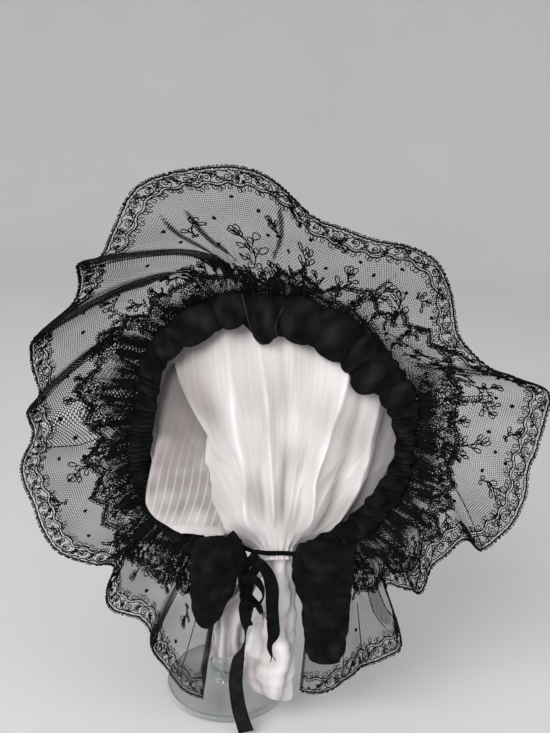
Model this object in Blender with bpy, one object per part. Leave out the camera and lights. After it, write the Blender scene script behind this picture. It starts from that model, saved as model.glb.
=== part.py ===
"""Lace cap on a padded glass display stand.

The cap faces -Y and stands over the origin, which is the middle of the glass foot's
underside. Tables are in millimetres and degrees; the model is in metres, +Z up.
A "turn" runs clockwise from the bottom of the face opening, seen from the front.
"""
import math
from collections import namedtuple

import bmesh
import bpy
from mathutils import Vector

MM = 0.001
GAP = 0.3

# Driving dimensions of the cap, in mm
CAP_CENTRE = Vector((31, -36, 248))
SEWN_REACH = 109
RUFFLE_WALL = 1.1
RUFFLE_SEWN_FORWARD = -2.4
RUFFLE_STEPS = 6
RUFFLE_STEPS_PER_FOLD = 3
RUFFLE_FLAT_MARGIN = 4
RUFFLE_FLARE_POWER = 1.4
FRILL_WALL = 1.0
FRILL_SEWN_FORWARD = -0.2
FRILL_FLUTES = 27
FRILL_FLAT_MARGIN = 2
FRILL_RIPPLE = 2.4
FRILL_FLAT_SHARE = 0.4
FRILL_ROWS = (0, 0.4, 0.7, 1)
BAND_FRONT = 9
BAND_BACK = 0.5
BAND_PUFFS = 28
BAND_PUFF_HEIGHT = 1.3
BAND_PLAIN_ENDS = 9
TIE_THICKNESS = 1.0
CHIN_TIE_WIDTH = 4
SHORT_TAIL_WIDTH = 9
LONG_TAIL_WIDTH = 10

# Driving dimensions of the crown, in mm
CROWN_WALL = 1.2
CROWN_REACH = 108
CROWN_FRONT = 3.3
CROWN_BACK = 146
CROWN_WIDEST = 66
CROWN_GATHERS = 22
CROWN_GATHER_HEIGHT = 1.4
NAPE_CUT = 82
NAPE_HALF_TURN = 52

# Driving dimensions of the stand, in mm
FORM_CENTRE = Vector((31, 29, 248.6))
FORM_RADIUS = 105
FORM_DEPTH = 74
FORM_FRONT_ROUNDING = 3.2
FORM_BACK_ROUNDING = 2
FORM_FOLDS = 20
FORM_FOLD_DEPTH = 1.1
NECK_END = Vector((40, -36, 147))
NECK_RADIUS = 15
NECK_LENGTH = 10
NECK_FLARE = 1.5
NECK_SWELL = 11
NECK_SWELL_ANGLE = 58
FLAP_WALL = 1.2
FLAP_GAP = 1.5
FLAP_HANG = 11.6
FLAP_FREE_TOP = 250
FLAP_FREE_BLEND = 16
FOOT_RADIUS = 52.5
STEM_RADIUS = 13
STEM_TOP = 178

# The band round the opening: how far its inner and outer edges reach from the centre.
# The frill behind it reaches further, and flares forward.
BandSection = namedtuple("BandSection", "turn inner outer frill flare")
BAND_SECTIONS = (
    BandSection(21, 90, 112, 140, 7),
    BandSection(34, 93, 118, 140, 12),
    BandSection(48, 95, 121, 141, 20),
    BandSection(62, 95, 121, 138, 20),
    BandSection(76, 93, 118, 137, 18),
    BandSection(92, 91, 115, 131, 16),
    BandSection(106, 91, 115, 144, 20),
    BandSection(122, 95, 119, 148, 20),
    BandSection(138, 98, 123, 142, 18),
    BandSection(156, 96, 123, 140, 16),
    BandSection(166, 90, 121, 136, 14),
    BandSection(175, 79, 118, 133, 14),
    BandSection(184, 83, 117, 133, 14),
    BandSection(200, 80, 115, 134, 15),
    BandSection(222, 79, 115, 140, 16),
    BandSection(233, 77, 115, 146, 18),
    BandSection(242, 88, 115, 145, 20),
    BandSection(258, 95, 116, 136, 18),
    BandSection(274, 95, 116, 135, 18),
    BandSection(290, 90, 115, 140, 20),
    BandSection(306, 88, 114, 142, 20),
    BandSection(322, 90, 114, 142, 12),
    BandSection(339, 96, 115, 136, 7),
)

# The wide ruffle, a row for each fold. It is sewn at sewn_turn; its free edge lies at
# edge_turn and reach, standing forward of the opening; bow bends the fold sideways.
Fold = namedtuple("Fold", "sewn_turn edge_turn reach forward bow")
RUFFLE_FOLDS = (
    Fold(19, 12, 226, 18, 0),
    Fold(23, 16.5, 220, 22, 0),
    Fold(27, 22.5, 205, 22, 0),
    Fold(30.5, 28.4, 184, 34, 0),
    Fold(34, 29.4, 187, 12, 0),
    Fold(38.5, 33.8, 181, 14, 0),
    Fold(43, 41, 182, 24, 0),
    Fold(47, 47, 166, 34, 0),
    Fold(50, 50.5, 151, 26, 0),
    Fold(53, 51, 172, 7, 0),
    Fold(62, 60.5, 188, 14, 0),
    Fold(72, 73.5, 183, 26, 0),
    Fold(82, 85.5, 182, 34, 0),
    Fold(90, 93, 172, 40, -6),
    Fold(99, 95, 174, 26, 8),
    Fold(119, 102.5, 174, 50, 34),
    Fold(123, 102.5, 176, 12, 36),
    Fold(132, 111.5, 185, 26, 40),
    Fold(143, 119.5, 186, 50, 50),
    Fold(148, 126, 180, 10, 46),
    Fold(152, 132.5, 186, 22, 42),
    Fold(157, 137.5, 194, 50, 42),
    Fold(160, 138.5, 188, 8, 40),
    Fold(164, 144.5, 198, 10, 28),
    Fold(168, 153, 214, 14, 15),
    Fold(172, 165, 212, 20, 5),
    Fold(176.5, 173, 208, 26, 0),
    Fold(181, 178.5, 199, 30, 0),
    Fold(189, 186.5, 178, 22, 0),
    Fold(197, 194.5, 173, 14, 0),
    Fold(204, 202, 174, 18, 0),
    Fold(211, 209, 182, 26, 0),
    Fold(217, 215, 184, 30, 0),
    Fold(223, 222, 176, 24, 0),
    Fold(228, 233.5, 161, 12, 0),
    Fold(231.5, 243.5, 168, 14, 0),
    Fold(235, 246.5, 183, 34, 3),
    Fold(243, 252.5, 203, 30, 0),
    Fold(255, 260.5, 200, 20, 0),
    Fold(263, 271.5, 193, 16, 0),
    Fold(270, 281.5, 190, 26, -4),
    Fold(277, 290, 168, 44, -8),
    Fold(283, 295, 169, 8, -6),
    Fold(293, 304.5, 158, 16, -2),
    Fold(302, 311, 157, 34, 0),
    Fold(306.5, 315.5, 160, 12, 0),
    Fold(312, 320.5, 151, 8, 0),
    Fold(318, 325, 189, 30, 0),
    Fold(323, 334.5, 199, 20, 0),
    Fold(328, 340.5, 216, 8, 0),
    Fold(334, 347, 223, 12, 0),
    Fold(340, 351.5, 213, 18, 0),
)

# Padded forms as sections from one end to the other: the middle of each section, its
# half width across X and its half thickness along Y
Section = namedtuple("Section", "x y z half_width half_thickness")
LOOP_LEFT = (
    Section(-8, -48.2, 166, 17, 1.8),
    Section(-10, -49.6, 150, 18, 2.2),
    Section(-12, -51.2, 132, 16.5, 2.4),
    Section(-13, -53, 114, 14.5, 2.4),
    Section(-14, -54, 103, 10.5, 2.2),
    Section(-15.5, -54.6, 93, 4, 1.6),
)
LOOP_RIGHT = (
    Section(77, -48.2, 162, 19.5, 1.8),
    Section(78.5, -50.2, 142, 20, 2.2),
    Section(79, -53.2, 120, 19.5, 2.6),
    Section(80, -56.6, 98, 18, 2.6),
    Section(81, -59.4, 80, 14, 2.2),
    Section(81.5, -61, 69, 6, 1.6),
)
CLOTH_LEFT = (
    Section(27, -40, 145.8, 4.2, 3.4),
    Section(20, -39.4, 132, 7, 5),
    Section(9, -39, 110, 10, 7),
    Section(2, -38, 84, 11.5, 7),
    Section(1, -37, 62, 12, 6),
    Section(1, -36.6, 55, 9, 4),
)
CLOTH_RIGHT = (
    Section(41.4, -40, 146.8, 9, 3.6),
    Section(42, -40.4, 130, 13, 7),
    Section(42, -41.4, 108, 15, 10),
    Section(39, -43, 86, 19, 13),
    Section(37, -45, 62, 21.5, 15),
    Section(38, -46, 40, 20.5, 13),
    Section(42, -46, 25, 15, 9),
)
KNOT = (
    Section(14, -52.2, 165.5, 4, 2),
    Section(17, -53.4, 155, 8, 3.2),
    Section(19, -54, 140, 9.5, 4),
    Section(20, -54, 128, 7.5, 3.6),
    Section(19.5, -54, 119, 4, 2),
)

# The cloth's flat flap: its left and right edges at each height
FlapRow = namedtuple("FlapRow", "z left right")
FLAP_ROWS = (
    FlapRow(308, -42, -34),
    FlapRow(298, -50, -27),
    FlapRow(280, -55, -18),
    FlapRow(262, -58, -12),
    FlapRow(244, -57, -14),
    FlapRow(226, -61, -13),
    FlapRow(208, -64, -10),
    FlapRow(194, -60, -6),
    FlapRow(184, -51, -4),
    FlapRow(176, -38, -3),
)

# Ribbons follow these points along the middle of the strip
RoutePoint = namedtuple("RoutePoint", "x y z")
CHIN_TIE = (
    RoutePoint(2, -49, 177),
    RoutePoint(9, -49.4, 168),
    RoutePoint(18, -49, 162.5),
    RoutePoint(29, -48, 160.5),
    RoutePoint(42, -47.6, 160.5),
    RoutePoint(56.4, -48.2, 160.5),
)
TAIL_SHORT = (
    RoutePoint(29.6, -55, 152.5),
    RoutePoint(34.6, -57, 146),
    RoutePoint(37.4, -59, 136),
    RoutePoint(38, -60, 122),
    RoutePoint(38.6, -61, 108),
    RoutePoint(39, -61.6, 96),
    RoutePoint(36.6, -61.6, 85),
    RoutePoint(38.6, -61, 75),
)
TAIL_LONG = (
    RoutePoint(18.4, -54.4, 118.5),
    RoutePoint(17.5, -56.4, 102),
    RoutePoint(16.5, -58.5, 88),
    RoutePoint(10, -60.5, 70),
    RoutePoint(7.5, -62, 50),
    RoutePoint(9.5, -63.5, 30),
    RoutePoint(15, -65, 13),
    RoutePoint(19, -66, 4),
)

# The glass from its underside up to the top of the stem
GlassRing = namedtuple("GlassRing", "radius z")
GLASS_PROFILE = (
    GlassRing(50, 0),
    GlassRing(FOOT_RADIUS, 1.2),
    GlassRing(FOOT_RADIUS, 3.4),
    GlassRing(50, 5),
    GlassRing(34, 7.5),
    GlassRing(22, 12),
    GlassRing(15.5, 21),
    GlassRing(STEM_RADIUS, 34),
    GlassRing(STEM_RADIUS, STEM_TOP),
)


def blend_rows(rows, steps):
    """Rows between the given ones, on a smooth curve through all of them."""
    kind = type(rows[0])
    result = []
    for index in range(len(rows) - 1):
        before = rows[max(index - 1, 0)]
        start, end = rows[index], rows[index + 1]
        after = rows[min(index + 2, len(rows) - 1)]
        for step in range(steps):
            t = step / steps
            values = []
            for a, b, c, d in zip(before, start, end, after):
                cubic = 3 * b - 3 * c + d - a
                square = 2 * a - 5 * b + 4 * c - d
                values.append(b + 0.5 * t * (c - a + t * (square + t * cubic)))
            result.append(kind(*values))
    result.append(rows[-1])
    return result


def row_at(rows, turn):
    """The row at a turn, straight between the rows on either side."""
    for low, high in zip(rows, rows[1:]):
        if turn <= high.turn:
            share = (turn - low.turn) / (high.turn - low.turn)
            return type(low)(*(a + share * (b - a) for a, b in zip(low, high)))
    return rows[-1]


def on_face(turn, reach, forward):
    """A point given by its turn, its reach from the centre and how far forward it is."""
    angle = math.radians(turn)
    offset = Vector((-math.sin(angle) * reach, -forward, -math.cos(angle) * reach))
    return CAP_CENTRE + offset


def make_object(name, points, faces, material):
    """A mesh object from points in mm, with its faces turned outward."""
    mesh = bpy.data.meshes.new(name)
    bm = bmesh.new()
    corners = [bm.verts.new(Vector(point) * MM) for point in points]
    for face in faces:
        bm.faces.new([corners[index] for index in face])
    bmesh.ops.recalc_face_normals(bm, faces=bm.faces)
    bm.to_mesh(mesh)
    bm.free()
    mesh.materials.append(material)
    mesh.shade_smooth()
    mesh.set_sharp_from_angle(angle=math.radians(50))
    built = bpy.data.objects.new(name, mesh)
    bpy.context.collection.objects.link(built)
    return built


def grid_faces(rows, columns, closed=False):
    """Quads between neighbouring rows of points; closed joins the ends of each row."""
    faces = []
    for row in range(rows - 1):
        for column in range(columns if closed else columns - 1):
            after = (column + 1) % columns
            low, high = row * columns, (row + 1) * columns
            faces.append((low + column, low + after, high + after, high + column))
    return faces


def cloth_wall(name, grid, wall, material, closed=False, filled=False):
    """A sheet through rows of points, thickened evenly to both sides; closed joins the
    ends of each row, and filled closes the last row's ring."""
    points = [point for row in grid for point in row]
    columns = len(grid[0])
    faces = grid_faces(len(grid), columns, closed)
    if filled:
        faces.append(tuple(range(len(points) - columns, len(points))))
    sheet = make_object(name, points, faces, material)
    sheet.modifiers.new("Facets", "TRIANGULATE")
    solidify = sheet.modifiers.new("Wall", "SOLIDIFY")
    solidify.thickness = wall * MM
    solidify.offset = 0
    return sheet


def tube_of_rings(name, rings, material):
    """A closed body through rings of points, with flat ends."""
    count = len(rings[0])
    points = [point for ring in rings for point in ring]
    faces = grid_faces(len(rings), count, closed=True)
    last = (len(rings) - 1) * count
    faces.append(tuple(range(count)))
    faces.append(tuple(last + index for index in range(count)))
    return make_object(name, points, faces, material)


def pad(name, sections, material, sides=10, steps=2):
    """A soft flat body lofted through oval sections."""
    rings = []
    for section in blend_rows(sections, steps):
        ring = []
        for side in range(sides):
            angle = math.tau * side / sides
            ring.append((
                section.x + section.half_width * math.cos(angle),
                section.y + section.half_thickness * math.sin(angle),
                section.z,
            ))
        rings.append(ring)
    return tube_of_rings(name, rings, material)


def ribbon(name, route, width, material, steps=2):
    """A flat strip along a route, its face towards the front."""
    points = [Vector(point) for point in blend_rows(route, steps)]
    front = Vector((0, -1, 0))
    rings = []
    for index, point in enumerate(points):
        ahead = points[min(index + 1, len(points) - 1)]
        behind = points[max(index - 1, 0)]
        along = (ahead - behind).normalized()
        across = along.cross(front).normalized() * (width / 2)
        through = across.cross(along).normalized() * (TIE_THICKNESS / 2)
        rings.append([
            point - across - through,
            point + across - through,
            point + across + through,
            point - across + through,
        ])
    return tube_of_rings(name, rings, material)


def ruffle_point(fold, depth):
    """A point on the wide ruffle; depth is 0 where it is sewn and 1 at its edge."""
    sewn = on_face(fold.sewn_turn, SEWN_REACH, RUFFLE_SEWN_FORWARD)
    edge = on_face(fold.edge_turn, fold.reach, fold.forward)
    point = sewn.lerp(edge, depth)
    flat_reach = row_at(BAND_SECTIONS, fold.sewn_turn).outer + RUFFLE_FLAT_MARGIN
    flat = (flat_reach - SEWN_REACH) / (fold.reach - SEWN_REACH)
    flare = max(depth - flat, 0) / (1 - flat)
    point.y = sewn.y + (edge.y - sewn.y) * flare ** RUFFLE_FLARE_POWER
    angle = math.radians((fold.sewn_turn + fold.edge_turn) / 2)
    sideways = Vector((-math.cos(angle), 0, math.sin(angle)))
    return point + sideways * fold.bow * 4 * depth * (1 - depth)


def build_outer_ruffle(material):
    folds = blend_rows(RUFFLE_FOLDS, RUFFLE_STEPS_PER_FOLD)
    grid = []
    for step in range(RUFFLE_STEPS):
        depth = step / (RUFFLE_STEPS - 1)
        grid.append([ruffle_point(fold, depth) for fold in folds])
    return cloth_wall("outer_ruffle", grid, RUFFLE_WALL, material)


def frill_point(share, depth):
    """A point on the short frill: flat behind the band, then fluted and flared."""
    start, end = BAND_SECTIONS[0].turn, BAND_SECTIONS[-1].turn
    turn = start + (end - start) * share
    section = row_at(BAND_SECTIONS, turn)
    flat_end = section.outer + FRILL_FLAT_MARGIN
    if depth < FRILL_FLAT_SHARE:
        reach = SEWN_REACH + (flat_end - SEWN_REACH) * depth / FRILL_FLAT_SHARE
        return on_face(turn, reach, FRILL_SEWN_FORWARD)
    free = (depth - FRILL_FLAT_SHARE) / (1 - FRILL_FLAT_SHARE)
    wave = math.sin(math.tau * FRILL_FLUTES * share)
    reach = flat_end + (section.frill - flat_end) * free + FRILL_RIPPLE * free * wave
    forward = FRILL_SEWN_FORWARD + section.flare * free + FRILL_RIPPLE * free * wave
    return on_face(turn, reach, forward)


def build_inner_frill(material):
    steps = FRILL_FLUTES * 4
    grid = []
    for depth in FRILL_ROWS:
        grid.append([frill_point(step / steps, depth) for step in range(steps + 1)])
    return cloth_wall("inner_frill", grid, FRILL_WALL, material)


def build_face_band(material):
    start, end = BAND_SECTIONS[0].turn, BAND_SECTIONS[-1].turn
    steps = BAND_PUFFS * 3
    sides = 8
    rings = []
    for step in range(steps + 1):
        share = step / steps
        turn = start + (end - start) * share
        section = row_at(BAND_SECTIONS, turn)
        from_end = min(turn - start, end - turn)
        puff = BAND_PUFF_HEIGHT * math.cos(math.tau * BAND_PUFFS * share)
        puff *= min(from_end / BAND_PLAIN_ENDS, 1) ** 2
        middle = (section.inner + section.outer) / 2
        half_width = (section.outer - section.inner) / 2
        thickness = (BAND_FRONT - BAND_BACK) / 2
        ring = []
        for side in range(sides):
            angle = math.tau * (side + 0.5) / sides
            reach = middle + half_width * math.cos(angle)
            rise = math.sin(angle)
            forward = BAND_BACK + thickness * (1 + rise) + puff * max(rise, 0)
            ring.append(on_face(turn, reach, forward))
        rings.append(ring)
    return tube_of_rings("face_band", rings, material)


def crown_front(turn):
    """How far behind the opening the crown's edge lies; it is cut away at the nape."""
    from_bottom = min(turn, 360 - turn)
    if from_bottom >= NAPE_HALF_TURN:
        return CROWN_FRONT
    cut = math.cos(math.radians(90 * from_bottom / NAPE_HALF_TURN)) ** 2
    return CROWN_FRONT + NAPE_CUT * cut


def crown_reach(behind):
    """The crown's radius at a distance behind the opening."""
    share = max(behind - CROWN_WIDEST, 0) / (CROWN_BACK - CROWN_WIDEST)
    return CROWN_REACH * math.sqrt(1 - share ** 2)


def build_crown(material):
    columns = CROWN_GATHERS * 2
    rows = 9
    rings = []
    for row in range(rows):
        slope = math.sin(math.radians(86 * row / (rows - 1)))
        ring = []
        for column in range(columns):
            turn = 360 * column / columns
            front = crown_front(turn)
            behind = front + (CROWN_BACK - front) * slope
            gather = CROWN_GATHER_HEIGHT * math.cos(math.radians(turn * CROWN_GATHERS))
            reach = crown_reach(behind) + gather * slope * math.cos(slope * math.pi / 2)
            ring.append(on_face(turn, reach, -behind))
        rings.append(ring)
    return cloth_wall("crown", rings, CROWN_WALL, material, closed=True, filled=True)


def form_reach(direction, neck_angle):
    """How far the cloth ball reaches from its centre; it is flatter in front, and it
    swells towards the neck."""
    forward = min(max(-direction.y / 0.5, 0), 1)
    rounding = FORM_FRONT_ROUNDING if forward else FORM_BACK_ROUNDING
    across = math.hypot(direction.x, direction.z) / FORM_RADIUS
    along = abs(direction.y) / FORM_DEPTH
    reach = (across ** rounding + along ** rounding) ** (-1 / rounding)
    near_neck = min(neck_angle / math.radians(NECK_SWELL_ANGLE), 1)
    return reach + NECK_SWELL * forward * math.cos(math.pi / 2 * near_neck) ** 2


def form_front(x, z):
    """The Y of the ball's front at a place in its front view."""
    across = math.hypot(x - FORM_CENTRE.x, z - FORM_CENTRE.z) / FORM_RADIUS
    share = max(1 - across ** FORM_FRONT_ROUNDING, 0) ** (1 / FORM_FRONT_ROUNDING)
    return FORM_CENTRE.y - FORM_DEPTH * share


def build_padded_form(material):
    """The cloth ball, folded towards its neck and gathered there by the tie."""
    axis = (NECK_END - FORM_CENTRE).normalized()
    side = axis.cross(Vector((1, 0, 0))).normalized()
    other = axis.cross(side).normalized()
    columns = FORM_FOLDS * 2
    rows = 15
    outward = []
    for column in range(columns):
        around = math.tau * column / columns
        outward.append(side * math.cos(around) + other * math.sin(around))
    rings = []
    for back, radius in (
        (0, NECK_RADIUS + NECK_FLARE),
        (NECK_LENGTH / 2, NECK_RADIUS),
        (NECK_LENGTH, NECK_RADIUS + NECK_FLARE),
    ):
        rings.append([NECK_END - axis * back + way * radius for way in outward])
    for row in range(rows):
        angle = math.radians(14 + 162 * row / (rows - 1))
        ring = []
        for column, way in enumerate(outward):
            direction = axis * math.cos(angle) + way * math.sin(angle)
            fold = FORM_FOLD_DEPTH if column % 2 else -FORM_FOLD_DEPTH
            reach = form_reach(direction, angle) + fold * math.cos(angle / 2)
            ring.append(FORM_CENTRE + direction * reach)
        rings.append(ring)
    form = tube_of_rings("padded_form", rings, material)
    cutter = make_cutter("socket", STEM_RADIUS + GAP, STEM_TOP + GAP)
    socket = form.modifiers.new("Socket", "BOOLEAN")
    socket.operation = "DIFFERENCE"
    socket.solver = "EXACT"
    socket.object = cutter
    return form


def build_form_flap(material):
    """The flap lies on the ball; its lower left part hangs free in front of the band."""
    columns = 7
    grid = []
    for row in blend_rows(FLAP_ROWS, 1):
        line = []
        for column in range(columns):
            x = row.left + (row.right - row.left) * column / (columns - 1)
            lying = form_front(x, row.z) - FORM_FOLD_DEPTH - FLAP_GAP
            free = min(max((FLAP_FREE_TOP - row.z) / FLAP_FREE_BLEND, 0), 1)
            hanging = min(lying, CAP_CENTRE.y - FLAP_HANG)
            line.append((x, lying + (hanging - lying) * free, row.z))
        grid.append(line)
    return cloth_wall("form_flap", grid, FLAP_WALL, material)


def make_cutter(name, radius, top):
    bpy.ops.mesh.primitive_cylinder_add(
        vertices=24, radius=radius * MM, depth=top * MM, location=(0, 0, top / 2 * MM))
    cutter = bpy.context.object
    cutter.name = name
    cutter.hide_render = True
    cutter.display_type = "WIRE"
    return cutter


def build_glass_stand(material):
    sides = 28
    rings = []
    for radius, z in GLASS_PROFILE:
        angles = [math.tau * side / sides for side in range(sides)]
        rings.append([(radius * math.cos(a), radius * math.sin(a), z) for a in angles])
    return tube_of_rings("glass_stand", rings, material)


def make_material(name, colour, roughness, transmission=0.0):
    material = bpy.data.materials.new(name)
    material.use_nodes = True
    shader = material.node_tree.nodes["Principled BSDF"]
    shader.inputs["Base Color"].default_value = (*colour, 1)
    shader.inputs["Roughness"].default_value = roughness
    shader.inputs["Metallic"].default_value = 0
    shader.inputs["Transmission Weight"].default_value = transmission
    return material


def build():
    for old in list(bpy.data.objects):
        bpy.data.objects.remove(old)
    net = make_material("black_net", (0.03, 0.035, 0.035), 0.8)
    lace = make_material("black_lace", (0.02, 0.024, 0.024), 0.8)
    silk = make_material("black_ribbon", (0.008, 0.01, 0.01), 0.6)
    cotton = make_material("white_cotton", (0.72, 0.67, 0.65), 0.9)
    glass = make_material("clear_glass", (0.82, 0.86, 0.84), 0.05, transmission=0.9)
    build_outer_ruffle(net)
    build_inner_frill(lace)
    build_face_band(silk)
    build_crown(net)
    pad("ribbon_loop_left", LOOP_LEFT, silk)
    pad("ribbon_loop_right", LOOP_RIGHT, silk)
    ribbon("chin_tie", CHIN_TIE, CHIN_TIE_WIDTH, silk)
    pad("tie_knot", KNOT, silk, sides=8)
    ribbon("tie_tail_short", TAIL_SHORT, SHORT_TAIL_WIDTH, silk)
    ribbon("tie_tail_long", TAIL_LONG, LONG_TAIL_WIDTH, silk)
    build_padded_form(cotton)
    build_form_flap(cotton)
    pad("cloth_tail_left", CLOTH_LEFT, cotton)
    pad("cloth_tail_right", CLOTH_RIGHT, cotton)
    build_glass_stand(glass)


build()
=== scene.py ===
"""Lace cap on a padded glass display stand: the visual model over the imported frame.

Tables and shapes are in millimetres and degrees, as in the part; meshes are in metres.
A "turn" runs clockwise from the bottom of the face opening, seen from the front.
"""
import math
from collections import namedtuple

import bmesh
import bpy
import numpy as np
from mathutils import Matrix, Vector
from mathutils.bvhtree import BVHTree


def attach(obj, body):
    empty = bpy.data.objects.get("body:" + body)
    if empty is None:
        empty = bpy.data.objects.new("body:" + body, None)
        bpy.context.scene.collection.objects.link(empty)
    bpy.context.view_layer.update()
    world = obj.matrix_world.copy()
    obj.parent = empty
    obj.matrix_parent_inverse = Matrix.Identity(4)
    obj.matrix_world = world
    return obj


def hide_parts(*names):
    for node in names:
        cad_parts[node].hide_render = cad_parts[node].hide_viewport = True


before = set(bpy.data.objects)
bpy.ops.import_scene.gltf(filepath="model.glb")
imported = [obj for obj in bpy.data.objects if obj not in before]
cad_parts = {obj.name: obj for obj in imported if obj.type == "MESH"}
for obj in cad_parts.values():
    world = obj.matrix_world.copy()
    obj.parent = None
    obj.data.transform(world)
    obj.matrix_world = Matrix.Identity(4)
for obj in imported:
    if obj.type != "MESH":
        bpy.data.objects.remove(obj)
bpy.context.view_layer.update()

MM = 0.001


def table(kind, rows):
    """A table's rows with their columns named."""
    return tuple(kind(*row) for row in rows)


# Sizes of the cap
CAP_CENTRE = np.array((31.0, -36.0, 248.0))
SEWN_REACH = 109
RUFFLE_SEWN_FORWARD = -2.4
RUFFLE_FLAT_MARGIN = 4
RUFFLE_FLARE_POWER = 1.4
RUFFLE_COLUMNS_PER_FOLD = 16
RUFFLE_ROWS = 60
RUFFLE_GATHER_PITCH = 5.2
RUFFLE_GATHER_HEIGHT = 2.0
RUFFLE_WAVE = 1.3
BORDER_WIDTH = 13.5
MOTIF_PITCH = 15.5
PLEAT_STEPS = 40
NET_PITCH = 1.9
NET_COVER = 0.32
DOUBLED_COVER = 0.15
HEM_COVER = 0.85
LACE_PITCH = 1.7
FRILL_SEWN_FORWARD = -0.2
FRILL_LOBES = 27
FRILL_COLUMNS_PER_LOBE = 26
FRILL_ROWS = 30
FRILL_PLEATS_PER_LOBE = 5
FRILL_LOBE_HEIGHT = 8.5
FRILL_BILLOW = 5.4
LACE_OVER_BAND = 6
BAND_BACK = 0.5
GATHER_COLUMNS = 1500
GATHER_SIDES = 18
CROWN_REACH = 108
CROWN_FRONT = 3.3
CROWN_BACK = 146
CROWN_WIDEST = 66
CROWN_GATHERS = 22
CROWN_COLUMNS_PER_GATHER = 18
CROWN_GATHER_HEIGHT = 1.4
NAPE_CUT = 82
NAPE_HALF_TURN = 52

# Sizes of the stand
FORM_CENTRE = np.array((31.0, 29.0, 248.6))
FORM_RADIUS = 105
FORM_DEPTH = 74
FORM_FRONT_ROUNDING = 3.2
FORM_BACK_ROUNDING = 2
NECK_END = np.array((40.0, -36.0, 147.0))
NECK_RADIUS = 15
NECK_LENGTH = 10
NECK_FLARE = 1.5
NECK_SWELL = 11
NECK_SWELL_ANGLE = 58
FLAP_GAP = 2.6
FLAP_HANG = 11.6
FLAP_FREE_TOP = 250
FLAP_FREE_BLEND = 16
STRIPE_PITCH = 6.0
FOOT_RADIUS = 52.5
STEM_RADIUS = 13
STEM_TOP = 178
FORM_COLUMNS = 600
FORM_ROWS = 96
FLAP_COLUMNS = 56
FLAP_GRID_ROWS = 90
FLAP_TUCK = 7
FLAP_LENGTH = 132
PAD_SIDES = 64
PAD_RINGS = 96
TIE_WIDTH = 10
TIE_COLUMNS = 9
ROUND_SIDES = 96

# Radii of the threads
BORDER_THREAD = 0.45
PICOT_THREAD = 0.37
SPRIG_THREAD = 0.52
DOT_THREAD = 0.75
CREASE_THREAD = 0.46
FRILL_THREAD = 0.46
CROWN_THREAD = 0.42
HEM_THREAD = 0.55
SELVEDGE_THREAD = 0.3
FRAYED_THREAD = 0.4

# Walls of the cloth and the ribbon
COTTON_WALL = 0.5
RIBBON_WALL = 0.35

# Colours in pairs, from dark to pale
NET_COLOURS = (0.003, 0.0035, 0.0035, 1), (0.010, 0.011, 0.011, 1)
LACE_COLOURS = (0.002, 0.0025, 0.0025, 1), (0.008, 0.009, 0.009, 1)
# The black ribbon's pale colour serves both its random mottling and the painted light on the
# band's crests and front faces
RIBBON_COLOURS = (0.002, 0.0024, 0.0023, 1), (0.021, 0.022, 0.0205, 1)
WORN_RIBBON_COLOURS = (0.008, 0.009, 0.009, 1), (0.02, 0.021, 0.02, 1)
SELVEDGE_COLOURS = (0.03, 0.033, 0.031, 1), (0.075, 0.078, 0.075, 1)
COTTON_COLOURS = (0.585, 0.535, 0.52, 1), (0.80, 0.765, 0.75, 1)
# Painted shade of the cotton's folds and shaded sides, then painted highlights along its fold
# crests
COTTON_HOLLOW = (0.29, 0.255, 0.248, 1)
COTTON_CREST = (0.93, 0.915, 0.905, 1)
COTTON_STRIPE = (0.84, 0.81, 0.79, 1)
COTTON_SHADED = (0.095, 0.078, 0.075, 1)
GLASS_COLOURS = (0.60, 0.625, 0.61, 1), (0.84, 0.86, 0.85, 1)
# Painted dark reflection of the glass, then its painted glint
GLASS_EDGE = (0.12, 0.142, 0.13, 1)
GLASS_GLINT = (0.92, 0.95, 0.93, 1)
FLOOR_COLOURS = (0.58, 0.58, 0.585, 1), (0.63, 0.63, 0.635, 1)

# The camera and the floor, which curves up into a wall
CAMERA_PLACE = (0.031, -0.635, 0.509)
CAMERA_TILT = 18.4
CAMERA_ROLL = 2.5
CAMERA_LENS = 42
FLOOR_REACH = 1700
FLOOR_BEND = 1100
WALL_HEIGHTS = [2200, 3400]

# The lamps, in metres and watts, and the even light of the room
Lamp = namedtuple("Lamp", "name place size power colour")
LAMPS = table(Lamp, (
    ("window", (-0.9, -1.3, 1.5), 1.4, 34, (0.98, 0.985, 1.0)),
    ("room", (1.3, -0.9, 0.9), 1.6, 9, (1.0, 0.985, 0.97)),
))
LAMP_TARGET = (0.03, 0, 0.22)
ROOM_COLOUR = (0.95, 0.955, 0.97, 1)
ROOM_STRENGTH = 0.95

# The band, the frill's free edge and how far that stands forward, by turn
BandSection = namedtuple("BandSection", "turn inner outer frill flare")
BAND_SECTIONS = table(BandSection, (
    (21, 90, 112, 140, 7), (34, 93, 118, 140, 12), (48, 95, 121, 141, 20),
    (62, 95, 121, 138, 20), (76, 93, 118, 137, 18), (92, 91, 115, 131, 16),
    (106, 91, 115, 144, 20), (122, 95, 119, 148, 20), (138, 98, 123, 142, 18),
    (156, 96, 123, 140, 16), (166, 90, 121, 136, 14), (175, 79, 118, 133, 14),
    (184, 83, 117, 133, 14), (200, 80, 115, 134, 15), (222, 79, 115, 140, 16),
    (233, 77, 115, 146, 18), (242, 88, 115, 145, 20), (258, 95, 116, 136, 18),
    (274, 95, 116, 135, 18), (290, 90, 115, 140, 20), (306, 88, 114, 142, 20),
    (322, 90, 114, 142, 12), (339, 96, 115, 136, 7),
))

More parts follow.
